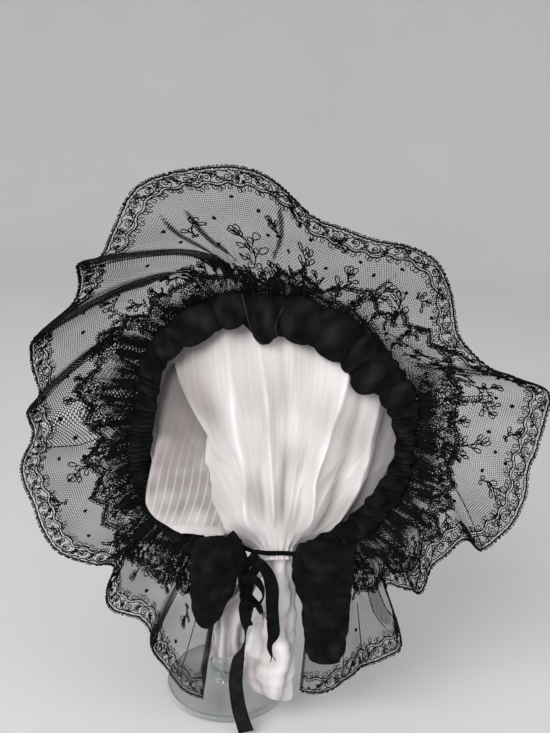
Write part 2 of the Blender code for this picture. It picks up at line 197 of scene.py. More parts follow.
# The wide ruffle, a row for each fold
Fold = namedtuple("Fold", "sewn_turn edge_turn reach forward bow")
RUFFLE_FOLDS = table(Fold, (
    (19, 12, 226, 18, 0), (23, 16.5, 220, 22, 0), (27, 22.5, 205, 22, 0),
    (30.5, 28.4, 184, 34, 0), (34, 29.4, 187, 12, 0), (38.5, 33.8, 181, 14, 0),
    (43, 41, 182, 24, 0), (47, 47, 166, 34, 0), (50, 50.5, 151, 26, 0), (53, 51, 172, 7, 0),
    (62, 60.5, 188, 14, 0), (72, 73.5, 183, 26, 0), (82, 85.5, 182, 34, 0),
    (90, 93, 172, 40, -6), (99, 95, 174, 26, 8), (119, 102.5, 174, 50, 34),
    (123, 102.5, 176, 12, 36), (132, 111.5, 185, 26, 40), (143, 119.5, 186, 50, 50),
    (148, 126, 180, 10, 46), (152, 132.5, 186, 22, 42), (157, 137.5, 194, 50, 42),
    (160, 138.5, 188, 8, 40), (164, 144.5, 198, 10, 28), (168, 153, 214, 14, 15),
    (172, 165, 212, 20, 5), (176.5, 173, 208, 26, 0), (181, 178.5, 199, 30, 0),
    (189, 186.5, 178, 22, 0), (197, 194.5, 173, 14, 0), (204, 202, 174, 18, 0),
    (211, 209, 182, 26, 0), (217, 215, 184, 30, 0), (223, 222, 176, 24, 0),
    (228, 233.5, 161, 12, 0), (231.5, 243.5, 168, 14, 0), (235, 246.5, 183, 34, 3),
    (243, 252.5, 203, 30, 0), (255, 260.5, 200, 20, 0), (263, 271.5, 193, 16, 0),
    (270, 281.5, 190, 26, -4), (277, 290, 168, 44, -8), (283, 295, 169, 8, -6),
    (293, 304.5, 158, 16, -2), (302, 311, 157, 34, 0), (306.5, 315.5, 160, 12, 0),
    (312, 320.5, 151, 8, 0), (318, 325, 189, 30, 0), (323, 334.5, 199, 20, 0),
    (328, 340.5, 216, 8, 0), (334, 347, 223, 12, 0), (340, 351.5, 213, 18, 0),
))

# Where the net lies double in a pressed pleat. Each follows points given by their place
# in the folds' table and their depth from the sewn line (0) to the free edge (1)
Pleat = namedtuple("Pleat", "width cover points")
PLEATS = (
    Pleat(15, 0.97, ((21, 1), (21, 0.85), (21, 0.72), (21.1, 0.61), (20.9, 0.4), (21, 0.17))),
    Pleat(16, 0.97, ((18, 1), (18.1, 0.85), (18.2, 0.7), (18.4, 0.5))),
    Pleat(11, 0.95, ((15, 1), (15, 0.86), (15, 0.68), (15, 0.31))),
    Pleat(4.6, 0.95, ((3, 1), (3.1, 0.84), (3.1, 0.64), (3, 0.24))),
    Pleat(4.6, 0.95, ((0.1, 0.4), (0.2, 0.69), (0.3, 0.9))),
    Pleat(7, 0.68, ((35.3, 0.19), (35.5, 0.46), (35.7, 0.71), (35.9, 1))),
    Pleat(5, 0.78, ((37.6, 0.05), (37.6, 0.15), (37.5, 0.39), (37.4, 0.61))),
    Pleat(11, 0.62, ((47.3, 0.4), (47.3, 0.61), (47.1, 0.78))),
    Pleat(4, 0.93, ((23.6, 0.84), (23.1, 0.71), (22.6, 0.5), (22.2, 0.29))),
    Pleat(4, 0.93, ((24.1, 0.76), (23.8, 0.52), (24.5, 0.31))),
    Pleat(3.8, 0.9, ((27.1, 0.84), (27.1, 0.55), (26.6, 0.3))),
    Pleat(3.6, 0.88, ((29.6, 0.05), (30.7, 0.31), (31.2, 0.69))),
)
# Single creases, drawn by a thread and placed in the same way
CREASES = (
    ((12.9, 0.97), (12.9, 0.6), (13.1, 0.29)),
    ((41, 0.99), (40.8, 0.69), (40.5, 0.3)),
    ((32.1, 0.05), (33.5, 0.27), (34.4, 0.42), (35.2, 0.5)),
    ((1.2, 0.5), (1.3, 0.9)),
    ((49, 0.39), (49.2, 0.89)),
    ((48.1, 0.5), (48.2, 0.86)),
)

# Embroidered sprigs and solid dots on the ruffle, placed in the same way
Spray = namedtuple("Spray", "place depth size lean")
SPRAYS = table(Spray, (
    (23.8, 0.65, 13, 40), (25.2, 0.45, 30, -8), (17.3, 0.68, 18, 60), (14.2, 0.59, 19, 30),
    (28.1, 0.48, 21, 5), (29.6, 0.46, 20, 20), (32.4, 0.45, 20, -35), (31.1, 0.42, 26, 40),
    (36.9, 0.6, 22, 15), (11.6, 0.51, 20, -20), (6, 0.57, 17, 25), (1.9, 0.56, 13, -15),
    (40, 0.74, 18, 10), (38.9, 0.51, 20, -30), (37.8, 0.56, 18, 35), (29, 0.81, 11, -50),
    (32.8, 0.71, 12, 60), (11, 0.78, 11, 30), (9.2, 0.56, 12, -10), (42.2, 0.7, 12, 20),
    (38.4, 0.8, 12, -40), (38.2, 0.34, 19, 10), (39.5, 0.38, 19, -20), (49.7, 0.62, 12, 30),
    (26.9, 0.62, 12, -30), (33.6, 0.5, 12, 20), (45.5, 0.6, 12, 0), (4.4, 0.5, 13, -30),
    (34.4, 0.75, 11, 45),
))
DOTS = (
    (25.4, 0.79), (26.3, 0.71), (24.6, 0.65), (23.1, 0.8), (24, 0.47), (22.7, 0.71),
    (26.6, 0.54), (16.7, 0.76), (16.3, 0.5), (27.4, 0.49), (28.8, 0.5), (31.3, 0.76),
    (32.1, 0.59), (36.3, 0.8), (37.4, 0.64), (13.3, 0.59), (12.1, 0.69), (12, 0.46),
    (10.5, 0.59), (9.9, 0.69), (38.4, 0.61), (38.9, 0.7), (39.6, 0.62), (41.1, 0.61),
    (48.4, 0.69), (27.7, 0.81), (29.9, 0.71), (30.5, 0.6), (14.8, 0.75), (13.9, 0.75),
    (37.6, 0.75), (39.1, 0.8), (5.3, 0.72), (1.9, 0.78), (17.6, 0.82), (28.1, 0.75),
    (11.4, 0.64), (19.8, 0.75), (21.6, 0.6), (33.4, 0.72), (45.3, 0.75), (7.2, 0.6),
    (49.5, 0.5), (42.8, 0.6), (25.9, 0.9), (33, 0.9), (10.9, 0.88), (40.4, 0.88),
)

# The band's edge round the opening, and its separate puffs
EdgePoint = namedtuple("EdgePoint", "turn reach")
INNER_EDGE = table(EdgePoint, (
    (21, 90), (34, 93), (62, 95), (80, 92), (91, 89), (104, 89), (115, 93), (125, 98.5),
    (136, 99.5), (145, 97), (155, 95), (160, 97.5), (165, 96), (168, 88), (171, 81.5),
    (175, 80), (179, 81.5), (181, 83.5), (186, 83), (198, 81), (216, 80), (223, 78),
    (230, 75.5), (236, 77.5), (239, 85), (243, 88.5), (253, 90), (264, 92.5), (270, 92.5),
    (279, 90), (290, 86.5), (300, 85), (312, 84), (327, 84), (339, 85),
))
Puff = namedtuple("Puff", "turn width inner outer height")
PUFFS = table(Puff, (
    (134, 15, 99, 121, 8.5), (147, 20, 95.5, 123, 9.5), (161.5, 13, 95, 123, 8.5),
    (174.5, 12.5, 79.5, 117, 10.2), (190, 20, 82, 118, 9.2), (206, 22, 79.5, 117, 9.8),
    (219, 11, 79.5, 114, 8.5), (231, 15.5, 75.5, 106, 10.4), (244, 12, 88, 116, 9),
))
# The ribbon's paler woven edges, by turn and reach
SELVEDGES = (
    ((167.5, 119), (167.8, 108), (168.2, 97), (169.5, 86), (173, 81.5)),
    ((181, 83), (179.5, 92), (180.5, 101), (182, 108)),
)

# Oval sections of the hanging ends, from the top down
Section = namedtuple("Section", "x y z half_width half_thickness")
LOOP_LEFT = table(Section, (
    (-6, -48, 173, 17, 1.8), (-7.5, -49, 160, 19.5, 2.2), (-9, -50.4, 143, 20, 2.4),
    (-10.5, -51.6, 129, 18.5, 2.4), (-13, -53, 116, 15, 2.4), (-14, -54, 103, 10.5, 2.2),
    (-15.5, -54.6, 93, 3, 1.6),
))
LOOP_RIGHT = table(Section, (
    (77, -47.4, 172, 21, 1.8), (75.5, -48.6, 158, 24.5, 2), (75.5, -50.2, 142, 25, 2.2),
    (77, -51.8, 130, 22.5, 2.4), (79.5, -53.6, 119, 19.5, 2.6), (80, -56.6, 98, 18.5, 2.6),
    (80.5, -59.4, 80, 16, 2.2), (81, -61, 69, 11, 1.6),
))
CLOTH_LEFT = table(Section, (
    (33, -38, 151, 7, 4), (28, -39.4, 143, 6.4, 4.4), (20, -39.4, 132, 7, 5),
    (9, -39, 110, 10, 7), (2, -38, 84, 11.5, 7), (1, -37, 62, 12, 6), (1, -36.6, 55, 9, 4),
))
CLOTH_RIGHT = table(Section, (
    (41, -38, 152, 13, 6), (41.4, -39.6, 144, 12.6, 6), (42, -40.4, 130, 13, 7),
    (42, -41.4, 108, 15, 10), (39, -43, 86, 19, 13), (37, -45, 62, 21.5, 15),
    (38, -46, 40, 20.5, 13), (42, -46, 25, 15, 9),
))

# The flap's sides, from the top down
FlapRow = namedtuple("FlapRow", "z left right")
FLAP_ROWS = table(FlapRow, (
    (308, -42, -34), (298, -50, -27), (280, -55, -18), (262, -58, -12), (244, -57, -14),
    (226, -60, -13), (209, -63, -10), (196, -62.5, -6), (185, -54, -4), (174, -36, -3),
))

# Ribbons follow these points; width is across the strip and twist turns its face
RibbonPoint = namedtuple("RibbonPoint", "x y z width twist")
CHIN_TIE = table(RibbonPoint, (
    (2, -49, 177, 4, 10), (9, -49.4, 168, 4.4, 0), (18, -49, 162.5, 4, -12),
    (29, -48, 160.5, 4.2, 0), (42, -47.6, 160.5, 3.8, 8), (56.4, -48.2, 160.5, 4, 0),
))
TAIL_SHORT = table(RibbonPoint, (
    (24, -55, 157, 7, 40), (31.6, -57, 149, 9, 10), (36, -59, 137, 10.6, 0),
    (37, -60, 122, 10.2, -14), (38, -61, 108, 10.6, -20), (39, -61.6, 96, 9.6, 10),
    (36.6, -61.6, 85, 6, 40), (38.6, -61, 75, 2.4, 60),
))
TAIL_LONG = table(RibbonPoint, (
    (18.4, -54.4, 118.5, 8, 0), (17.5, -56.4, 102, 6.5, 35), (16.5, -58.5, 88, 3.6, 75),
    (12, -60.5, 70, 9.4, 10), (10.5, -62, 50, 11.4, -8), (13, -63.5, 30, 11.6, 4),
    (17.5, -65, 13, 12.6, -6), (20.5, -66, 4, 13, 0),
))

# The knot, four turns of the same ribbon that cross each other
KNOT_STRANDS = [table(RibbonPoint, strand) for strand in (
    ((2, -51, 178.4, 6.7, 30), (7, -53, 171.5, 7.5, 10),
     (12.8, -55, 157, 8.7, -15), (14.1, -55.5, 140, 9.3, 10),
     (16.2, -55.5, 124, 8.7, 25), (19, -55, 112, 7.2, 0)),
    ((23, -53, 162.5, 7.2, 0), (15.5, -56.5, 153.5, 8.1, 25),
     (12.8, -57.5, 141, 8.1, 40), (17, -58, 128.5, 7.8, 10),
     (25, -57.5, 119.7, 6.4, -20), (29, -57, 111.5, 3.5, 30)),
    ((27.6, -54, 158, 7.2, -20), (20.5, -57.5, 147, 7.8, 15),
     (19.5, -58.5, 133, 7.2, 50), (14.5, -58, 122, 6.7, 20),
     (15.4, -57.5, 109, 8.1, -10), (18.7, -57.5, 99, 8.7, 20)),
    ((11.6, -57, 139, 5.8, 30), (18, -59.5, 145, 6.1, 20),
     (26, -60, 140.5, 6.4, 50), (29.6, -60, 131, 5.8, 75),
     (25, -59.6, 121.5, 5.8, 40), (17, -59, 121, 5.8, 0),
     (12.6, -58, 130, 5.2, -30)),
)]

# Single threads that stand off the ribbon's frayed ends
LOOSE_THREADS = (
    ((29, -57, 112), (30, -58, 109), (30.4, -58, 106)),
    ((29.4, -57, 112), (31.6, -58.5, 110), (33, -59, 107.6)),
    ((30, -57, 112.5), (33, -58, 111.6), (35.4, -58, 110)),
    ((38.6, -61, 75.4), (40.6, -62, 73.6), (41.6, -62, 71.4)),
    ((38.4, -61, 75), (38.2, -62, 72.4), (37.4, -62, 70.2)),
)

# Folds of the cloth ball, running up from its neck. Each gives where it lies round the
# neck's axis at four angles away from it, how far it stands out and its width to each side
FOLD_ANGLES = (12, 40, 70, 105)
Ridge = namedtuple("Ridge", "around height right left")
FORM_RIDGES = (
    Ridge((75, 53, 35.5, 43), 6.2, 14, 2.2),
    Ridge((42, 25, 20, 19), 5.4, 2.6, 8),
    Ridge((20, 12.5, 11, 10), -2.2, 4, 4),
    Ridge((3, 3.5, 3.4, 5), 4.6, 2.4, 7),
    Ridge((-8, -8, -7, -5), -2.0, 3, 3),
    Ridge((-14, -15, -13, -8), 2.2, 3, 5),
    Ridge((-26, -22, -20, -18), -1.6, 5, 5),
    Ridge((-45, -31, -29, -34), 5.6, 3, 9),
    Ridge((-62, -50, -42, -42), -3.0, 3, 4),
    Ridge((-72, -60, -50, -47), 4.4, 3, 5),
    Ridge((-81, -69, -58, -52), -3.4, 3, 3),
    Ridge((-90, -77, -66, -58), 4.2, 3, 6),
    Ridge((-100, -86, -75, -66), -2.8, 4, 4),
)

# The glass, turned round the upright axis, from the foot up
GlassRing = namedtuple("GlassRing", "radius z")
GLASS_PROFILE = table(GlassRing, (
    (50, 0), (FOOT_RADIUS, 1.2), (FOOT_RADIUS, 3.4), (50, 5), (34, 7.5), (22, 12), (15.5, 21),
    (STEM_RADIUS, 34), (STEM_RADIUS, STEM_TOP),
))


# Curves, surfaces and meshes

def blend(rows, places):
    """Rows at fractional places along a table, on a smooth curve through all of them."""
    rows = np.array(rows, float)
    places = np.clip(np.asarray(places, float), 0, len(rows) - 1)
    start = np.minimum(places.astype(int), len(rows) - 2)
    t = (places - start)[..., None]
    a, b = rows[np.maximum(start - 1, 0)], rows[start]
    c, d = rows[start + 1], rows[np.minimum(start + 2, len(rows) - 1)]
    cubic = 3 * b - 3 * c + d - a
    square = 2 * a - 5 * b + 4 * c - d
    return b + 0.5 * t * (c - a + t * (square + t * cubic))


def on_face(turn, reach, forward):
    """Points given by their turn, reach from the centre and distance forward."""
    angle = np.radians(turn)
    return CAP_CENTRE + spread(
        -np.sin(angle) * reach, -np.asarray(forward, float), -np.cos(angle) * reach)


def turn_at(points):
    """The turn at which points lie round the opening."""
    return np.degrees(np.arctan2(CAP_CENTRE[0] - points[..., 0],
                                 CAP_CENTRE[2] - points[..., 2])) % 360


def bare(turn):
    """1 at the opening's upper right, where the frill is thin and open, 0 elsewhere."""
    return hump(186, 202, 230, 250, turn)


def ripple(seed, scale, *coordinates):
    """A smooth repeatable wobble, about -1 to 1, whose waves are about scale long."""
    chance = np.random.default_rng(seed)
    total = 0
    for _ in range(7):
        way = chance.normal(size=len(coordinates))
        way /= np.linalg.norm(way) * scale * chance.uniform(0.6, 1.6)
        phase = sum(w * c for w, c in zip(way, coordinates))
        total = total + np.sin(math.tau * phase + chance.uniform(0, math.tau))
    return total / 3.2


def ease(low, high, value):
    """From 0 at low to 1 at high, with no corners."""
    share = np.clip((value - low) / (high - low), 0, 1)
    return share * share * (3 - 2 * share)


def hump(low, full, fading, high, value):
    """From 0 at low to 1 at full and back from fading to high."""
    return ease(low, full, value) * ease(high, fading, value)


def bell(middle, width, value):
    """1 at the middle, fading smoothly over the width to either side."""
    return np.exp(-((value - middle) / width) ** 2)


def spread(*values):
    """Values that vary along different axes, stacked as the columns of one array."""
    return np.stack(np.broadcast_arrays(*values), axis=-1)


def band_at(turn, *columns):
    """The named columns of the band's table at a turn."""
    sections = np.array(BAND_SECTIONS)
    places = [BandSection._fields.index(column) for column in columns]
    found = [np.interp(turn, sections[:, 0], sections[:, place]) for place in places]
    return found if len(found) > 1 else found[0]


def unit(vectors):
    """Vectors brought to a length of 1."""
    return vectors / np.maximum(np.linalg.norm(vectors, axis=-1, keepdims=True), 1e-9)


def travelled(points):
    """The distance travelled along a line at each of its points."""
    steps = np.linalg.norm(np.diff(points, axis=0), axis=1)
    return np.concatenate(([0], np.cumsum(steps)))


def curve(rows, count):
    """That many even places along a table's whole curve."""
    return blend(rows, np.linspace(0, len(rows) - 1, count))


def grid_normals(grid):
    """Unit normals of a grid of points."""
    return unit(np.cross(np.gradient(grid, axis=0), np.gradient(grid, axis=1)))


class Cloth:
    """A sheet of points, columns along its free edge and rows in from it, that threads
    are laid on by their real distance along the edge and in from it."""

    def __init__(self, grid):
        self.grid = grid
        self.normals = grid_normals(grid)
        self.along = travelled(grid[:, 0])
        down = np.cumsum(np.linalg.norm(np.diff(grid, axis=1), axis=2), axis=1)
        self.down = np.concatenate((np.zeros((len(grid), 1)), down), axis=1)
        self.length = self.along[-1]
        self.flat = spread(self.along[:, None], self.down)

    def _column(self, column, inward):
        """Points and normals at distances in from the edge along given columns."""
        depths = self.down[column]
        row = np.clip((depths <= inward[:, None]).sum(axis=1) - 1, 0, depths.shape[1] - 2)
        each = np.arange(len(inward))
        part = (inward - depths[each, row]) / (depths[each, row + 1] - depths[each, row])
        part = part[:, None]
        points = self.grid[column, row] * (1 - part) + self.grid[column, row + 1] * part
        return points, self.normals[column, row]

    def at(self, flat):
        """Points and normals for flat positions (along the edge, in from it)."""
        place = np.interp(flat[:, 0], self.along, np.arange(len(self.along)))
        low = np.minimum(place.astype(int), len(self.along) - 2)
        share = (place - low)[:, None]
        point_a, normal_a = self._column(low, flat[:, 1])
        point_b, normal_b = self._column(low + 1, flat[:, 1])
        normal = unit(normal_a * (1 - share) + normal_b * share)
        return point_a * (1 - share) + point_b * share, normal

    def squeeze(self, along, inward):
        """How much closer the columns lie there than at the free edge."""
        probe = np.array(((along - 1.5, inward), (along + 1.5, inward)))
        points, _ = self.at(probe)
        return max(np.linalg.norm(points[1] - points[0]) / 3, 0.15)


def make_mesh(name, points, faces, material, closed=False):
    """A smooth mesh object from points in mm; a closed one has its faces turned out."""
    mesh = bpy.data.meshes.new(name)
    faces = faces if isinstance(faces, list) else faces.tolist()
    mesh.from_pydata((np.asarray(points) * MM).tolist(), [], faces)
    if closed:
        body = bmesh.new()
        body.from_mesh(mesh)
        bmesh.ops.recalc_face_normals(body, faces=body.faces)
        body.to_mesh(mesh)
        body.free()
    mesh.materials.append(material)
    mesh.shade_smooth()
    made = bpy.data.objects.new(name, mesh)
    bpy.context.scene.collection.objects.link(made)
    return made


def grid_quads(columns, rows, closed=False):
    """Quads of a grid stored column by column."""
    last = columns if closed else columns - 1
    column, row = np.meshgrid(np.arange(last), np.arange(rows - 1), indexing="ij")
    here = column * rows + row
    after = ((column + 1) % columns) * rows + row
    return np.stack((here, after, after + 1, here + 1), axis=-1).reshape(-1, 4)


def solid_object(name, grid, material):
    """A closed body whose columns run round it, with a flat face at each end."""
    columns, total = grid.shape[:2]
    quads = grid_quads(columns, total, closed=True)
    first = np.arange(columns) * total
    ends = [first[::-1].tolist(), (first + total - 1).tolist()]
    return make_mesh(name, grid.reshape(-1, 3), quads.tolist() + ends, material, closed=True)


def set_values(made, flat=None, **values):
    """Stores what the materials read: each corner's flat position on the cloth, in
    metres, as its UV, and named values for each vertex."""
    if flat is not None:
        layer = made.data.uv_layers.new(name="cloth")
        corner = np.zeros(len(made.data.loops), np.int32)
        made.data.loops.foreach_get("vertex_index", corner)
        uv = (flat.reshape(-1, 2)[corner] * MM).astype(np.float32)
        layer.data.foreach_set("uv", uv.ravel())
    for label, value in values.items():
        attribute = made.data.attributes.new(label, "FLOAT", "POINT")
        attribute.data.foreach_set("value", np.asarray(value, np.float32).ravel())
    return made


def sheet_object(name, grid, material, flat=None, closed=False, **values):
    """A sheet one face thick from a grid of points."""
    quads = grid_quads(*grid.shape[:2], closed)
    return set_values(make_mesh(name, grid.reshape(-1, 3), quads, material), flat, **values)


def add_wall(made, thickness):
    """Gives a sheet an even wall, in mm, to both sides of its middle."""
    wall = made.modifiers.new("Wall", "SOLIDIFY")
    wall.thickness = thickness * MM
    wall.offset = 0


def thread_mesh(name, threads, material, sides):
    """One mesh of thin tubes. Each thread is its points, the cloth's normals there and
    its radius; a thread whose ends meet is closed."""
    points, faces, count = [], [], 0
    turns = np.arange(sides) * math.tau / sides
    for line, normal, radius in threads:
        closed = np.linalg.norm(line[0] - line[-1]) < 1e-6
        if closed:
            line, normal = line[:-1], normal[:-1]
            tangent = np.roll(line, -1, axis=0) - np.roll(line, 1, axis=0)
        else:
            tangent = np.gradient(line, axis=0)
        side = unit(np.cross(tangent, normal))
        up = unit(np.cross(side, tangent))
        rings = (line[:, None] + side[:, None] * (np.cos(turns) * radius)[None, :, None]
                 + up[:, None] * (np.sin(turns) * radius)[None, :, None])
        number = len(line)
        ring = np.arange(number if closed else number - 1)[:, None] * sides
        here = ring + np.arange(sides)
        after = ring + (np.arange(sides) + 1) % sides
        quads = np.stack((here, after, after + sides, here + sides), axis=-1).reshape(-1, 4)
        faces.append(quads % (number * sides) + count)
        points.append(rings.reshape(-1, 3))
        count += number * sides
    return make_mesh(name, np.concatenate(points), np.concatenate(faces), material)


# Lace patterns, drawn flat in millimetres: x along the edge, y in from it

def leaf(length, width, steps=9):
    """An outlined leaf from the origin along y."""
    t = np.linspace(0, math.tau, steps + 1)
    x = 0.65 * width * np.sin(t) * np.abs(np.sin(t / 2)) ** 0.8
    return spread(x, length * (1 - np.cos(t)) / 2)


def spiral(start, end, turns, from_angle, steps):
    """A curl about the origin whose radius shrinks from start to end."""
    share = np.linspace(0, 1, steps + 1)
    angle = math.radians(from_angle) + math.tau * turns * share
    radius = start + (end - start) * share ** 0.8
    return spread(radius * np.cos(angle), radius * np.sin(angle))


def turned(shape, degrees, x=0.0, y=0.0, stretch=1.0):
    """A flat shape turned about the origin and then moved."""
    angle = math.radians(degrees)
    spin = np.array(((math.cos(angle), math.sin(angle)), (-math.sin(angle), math.cos(angle))))
    return shape * stretch @ spin + (x, y)


def twig(chance, size, lean):
    """A short side shoot: its stem, a leaf at its tip and one beside it."""
    stem = np.linspace((0, 0), (0, size * 0.55), 4)
    way = 1 if lean > 0 else -1
    tip = turned(leaf(size * 0.62, size * 0.3, 8), chance.uniform(-12, 12), 0, size * 0.5)
    beside = turned(leaf(size * 0.45, size * 0.24, 7), -52 * way, 0, size * 0.3)
    return [turned(shape, lean) for shape in (stem, tip, beside)]


def sprig(chance, size):
    """A small branching stem: a curved stalk up from the origin, with leafed shoots
    either side, leaves at its tip and two curls at its root."""
    bend = chance.uniform(-0.35, 0.35)
    small, middling = size < 16, size < 26
    count, share = (2, 0.5) if small else (3, 0.42) if middling else (5, 0.3)
    t = np.linspace(0, 1, 3 * count + 3)
    stalk = spread(bend * size * (t - t * t) * 2, size * 0.7 * t)
    shapes = [stalk]
    for number in range(count):
        lean = chance.uniform(30, 58) * (1 if number % 2 else -1)
        shoot = size * share * chance.uniform(0.85, 1.15)
        shapes += [shape + stalk[3 * number + 2] for shape in twig(chance, shoot, lean)]
    for lean in (-24, 6):
        tip = leaf(size * share * 0.75, size * share * 0.34, 8)
        shapes.append(turned(tip, lean, *stalk[-1]))
    for way in (-1, 1):
        curl = spiral(size * 0.1, size * 0.03, 1.1 * way, 180 if way > 0 else 0, 8)
        shapes.append(curl + stalk[1] + (way * size * 0.1, 0))
    return [shape - (0, size / 2) for shape in shapes]


# Materials

class Shader:
    """A material on the Principled shader, its nodes wired by short calls."""

    def __init__(self, name, roughness, specular=0.5, sheen=0.0, ior=1.5, transmission=0.0):
        self.material = bpy.data.materials.new(name)
        self.material.use_nodes = True
        self.tree = self.material.node_tree
        self.surface = self.tree.nodes["Principled BSDF"]
        for label, value in (
            ("Roughness", roughness),
            ("Specular IOR Level", specular),
            ("Sheen Weight", sheen),
            ("IOR", ior),
            ("Transmission Weight", transmission),
        ):
            self.surface.inputs[label].default_value = value

    def feed(self, target, value):
        """Links a socket to an input, or sets the input to a plain value."""
        if isinstance(value, bpy.types.NodeSocket):
            self.tree.links.new(value, target)
        else:
            target.default_value = value

    def set(self, label, value):
        self.feed(self.surface.inputs[label], value)

    def node(self, kind, *values, **settings):
        made = self.tree.nodes.new("ShaderNode" + kind)
        for label, value in settings.items():
            setattr(made, label, value)
        for socket, value in zip(made.inputs, values):
            if value is not None:
                self.feed(socket, value)
        return made

    def math(self, operation, *values):
        return self.node("Math", *values, operation=operation).outputs[0]

    def vector(self, operation, *values):
        made = self.node("VectorMath", *values, operation=operation)
        return made.outputs[1 if operation == "DOT_PRODUCT" else 0]

    def value(self, name):
        return self.node("Attribute", attribute_name=name).outputs["Fac"]

    def flat(self, scale):
        """The cloth's flat position, counted in units of scale mm."""
        place = self.node("UVMap", uv_map="cloth").outputs[0]
        return self.vector("MULTIPLY", place, (1 / (scale * MM),) * 3)

    def place(self):
        return self.node("TexCoord").outputs["Object"]

    def noise(self, scale, detail=2, vector=None):
        made = self.node("TexNoise")
        self.feed(made.inputs["Vector"], vector or self.place())
        made.inputs["Scale"].default_value = scale
        made.inputs["Detail"].default_value = detail
        return made.outputs["Fac"]

    def scaled(self, value, low, high):
        """A value from 0 to 1 mapped to low to high."""
        return self.math("MULTIPLY_ADD", value, high - low, low)

    def mix(self, share, first, second):
        made = self.node("Mix", data_type="RGBA")
        self.feed(made.inputs["Factor"], share)
        self.feed(made.inputs[6], first)
        self.feed(made.inputs[7], second)
        return made.outputs[2]

    def bump(self, height, strength, distance):
        made = self.node("Bump")
        made.inputs["Strength"].default_value = strength
        made.inputs["Distance"].default_value = distance * MM
        self.feed(made.inputs["Height"], height)
        self.set("Normal", made.outputs[0])


def cell_reach(shader, place):
    """Distance from the middle of a hexagonal mesh, 0.5 at its sides."""
    size = (1, math.sqrt(3), 1)
    half = (0.5, math.sqrt(3) / 2, 0.5)
    reaches = []
    for shift in ((20, 20 * math.sqrt(3), 0), (20.5, 20.5 * math.sqrt(3), 0)):
        moved = shader.vector("ADD", place, shift)
        inside = shader.vector("SUBTRACT", shader.vector("MODULO", moved, size), half)
        positive = shader.vector("ABSOLUTE", inside)
        slanted = shader.vector("DOT_PRODUCT", positive, (0.5, math.sqrt(3) / 2, 0))
        upright = shader.vector("DOT_PRODUCT", positive, (1, 0, 0))
        reaches.append(shader.math("MAXIMUM", slanted, upright))
    return shader.math("MINIMUM", *reaches)


def net_mask(shader, pitch, cover):
    """1 on the threads of a hexagonal net that covers that share of its area."""
    reach = cell_reach(shader, shader.flat(pitch))
    open_share = shader.math("SUBTRACT", 1.0, cover)
    edge = shader.math("MULTIPLY", shader.math("SQRT", open_share), 0.5)
    return shader.math("GREATER_THAN", reach, edge)


def thread_colour(shader, colours):
    """Colours the material as black thread with slightly lighter stretches."""
    shader.set("Base Color", shader.mix(shader.noise(260, 3), *colours))


def make_net():
    """The ruffle's and the crown's net, whose cover varies from place to place."""
    shader = Shader("black_net", 0.8, specular=0.04)
    thread_colour(shader, NET_COLOURS)
    shader.set("Alpha", net_mask(shader, NET_PITCH, shader.value("cover")))
    shader.bump(shader.noise(2600, 1), 0.4, 0.1)
    return shader.material


def make_dense_lace():
    """Close net whose holes vary in size."""
    shader = Shader("black_lace", 0.85, specular=0.03)
    thread_colour(shader, LACE_COLOURS)
    uneven = shader.scaled(shader.noise(330, 2), -0.1, 0.1)
    cover = shader.math("ADD", shader.value("cover"), uneven)
    cover = shader.math("MINIMUM", cover, 1.0)
    shader.set("Alpha", net_mask(shader, LACE_PITCH, cover))
    shader.bump(shader.noise(1800, 2), 0.6, 0.2)
    return shader.material


def make_thread():
    """The embroidery's solid thread."""
    shader = Shader("lace_thread", 0.75, specular=0.05)
    thread_colour(shader, LACE_COLOURS)
    shader.bump(shader.noise(2200, 1), 0.5, 0.12)
    return shader.material


def make_ribbon(name, low, high, mottle=1.0):
    """Ribbed silk: fine ribs across, softly mottled and creased, with painted light that makes
    its crests paler.
    """
    shader = Shader(name, 0.65, specular=0.05)
    patchy = shader.node("MapRange", shader.noise(130, 6), 0.36, 0.7).outputs[0]
    grain = shader.math("MULTIPLY", patchy, mottle)
    # Random mottling plus painted light: paler on crests and front faces, darker in creases and
    # under the puffs, by the values set on each mesh
    worn = shader.math("MULTIPLY_ADD", shader.value("worn"), 0.85, grain)
    shader.set("Base Color", shader.mix(worn, low, high))
    waves = shader.node("TexWave", wave_type="BANDS", bands_direction="Y")
    shader.feed(waves.inputs["Vector"], shader.flat(0.55))
    waves.inputs["Scale"].default_value = 0.31
    waves.inputs["Distortion"].default_value = 0.6
    creases = shader.noise(140, 4)
    height = shader.math("MULTIPLY_ADD", creases, 2.2, waves.outputs["Fac"])
    shader.bump(height, 0.7, 0.45)
    shader.set("Roughness", shader.scaled(shader.noise(220, 2), 0.55, 0.75))
    return shader.material


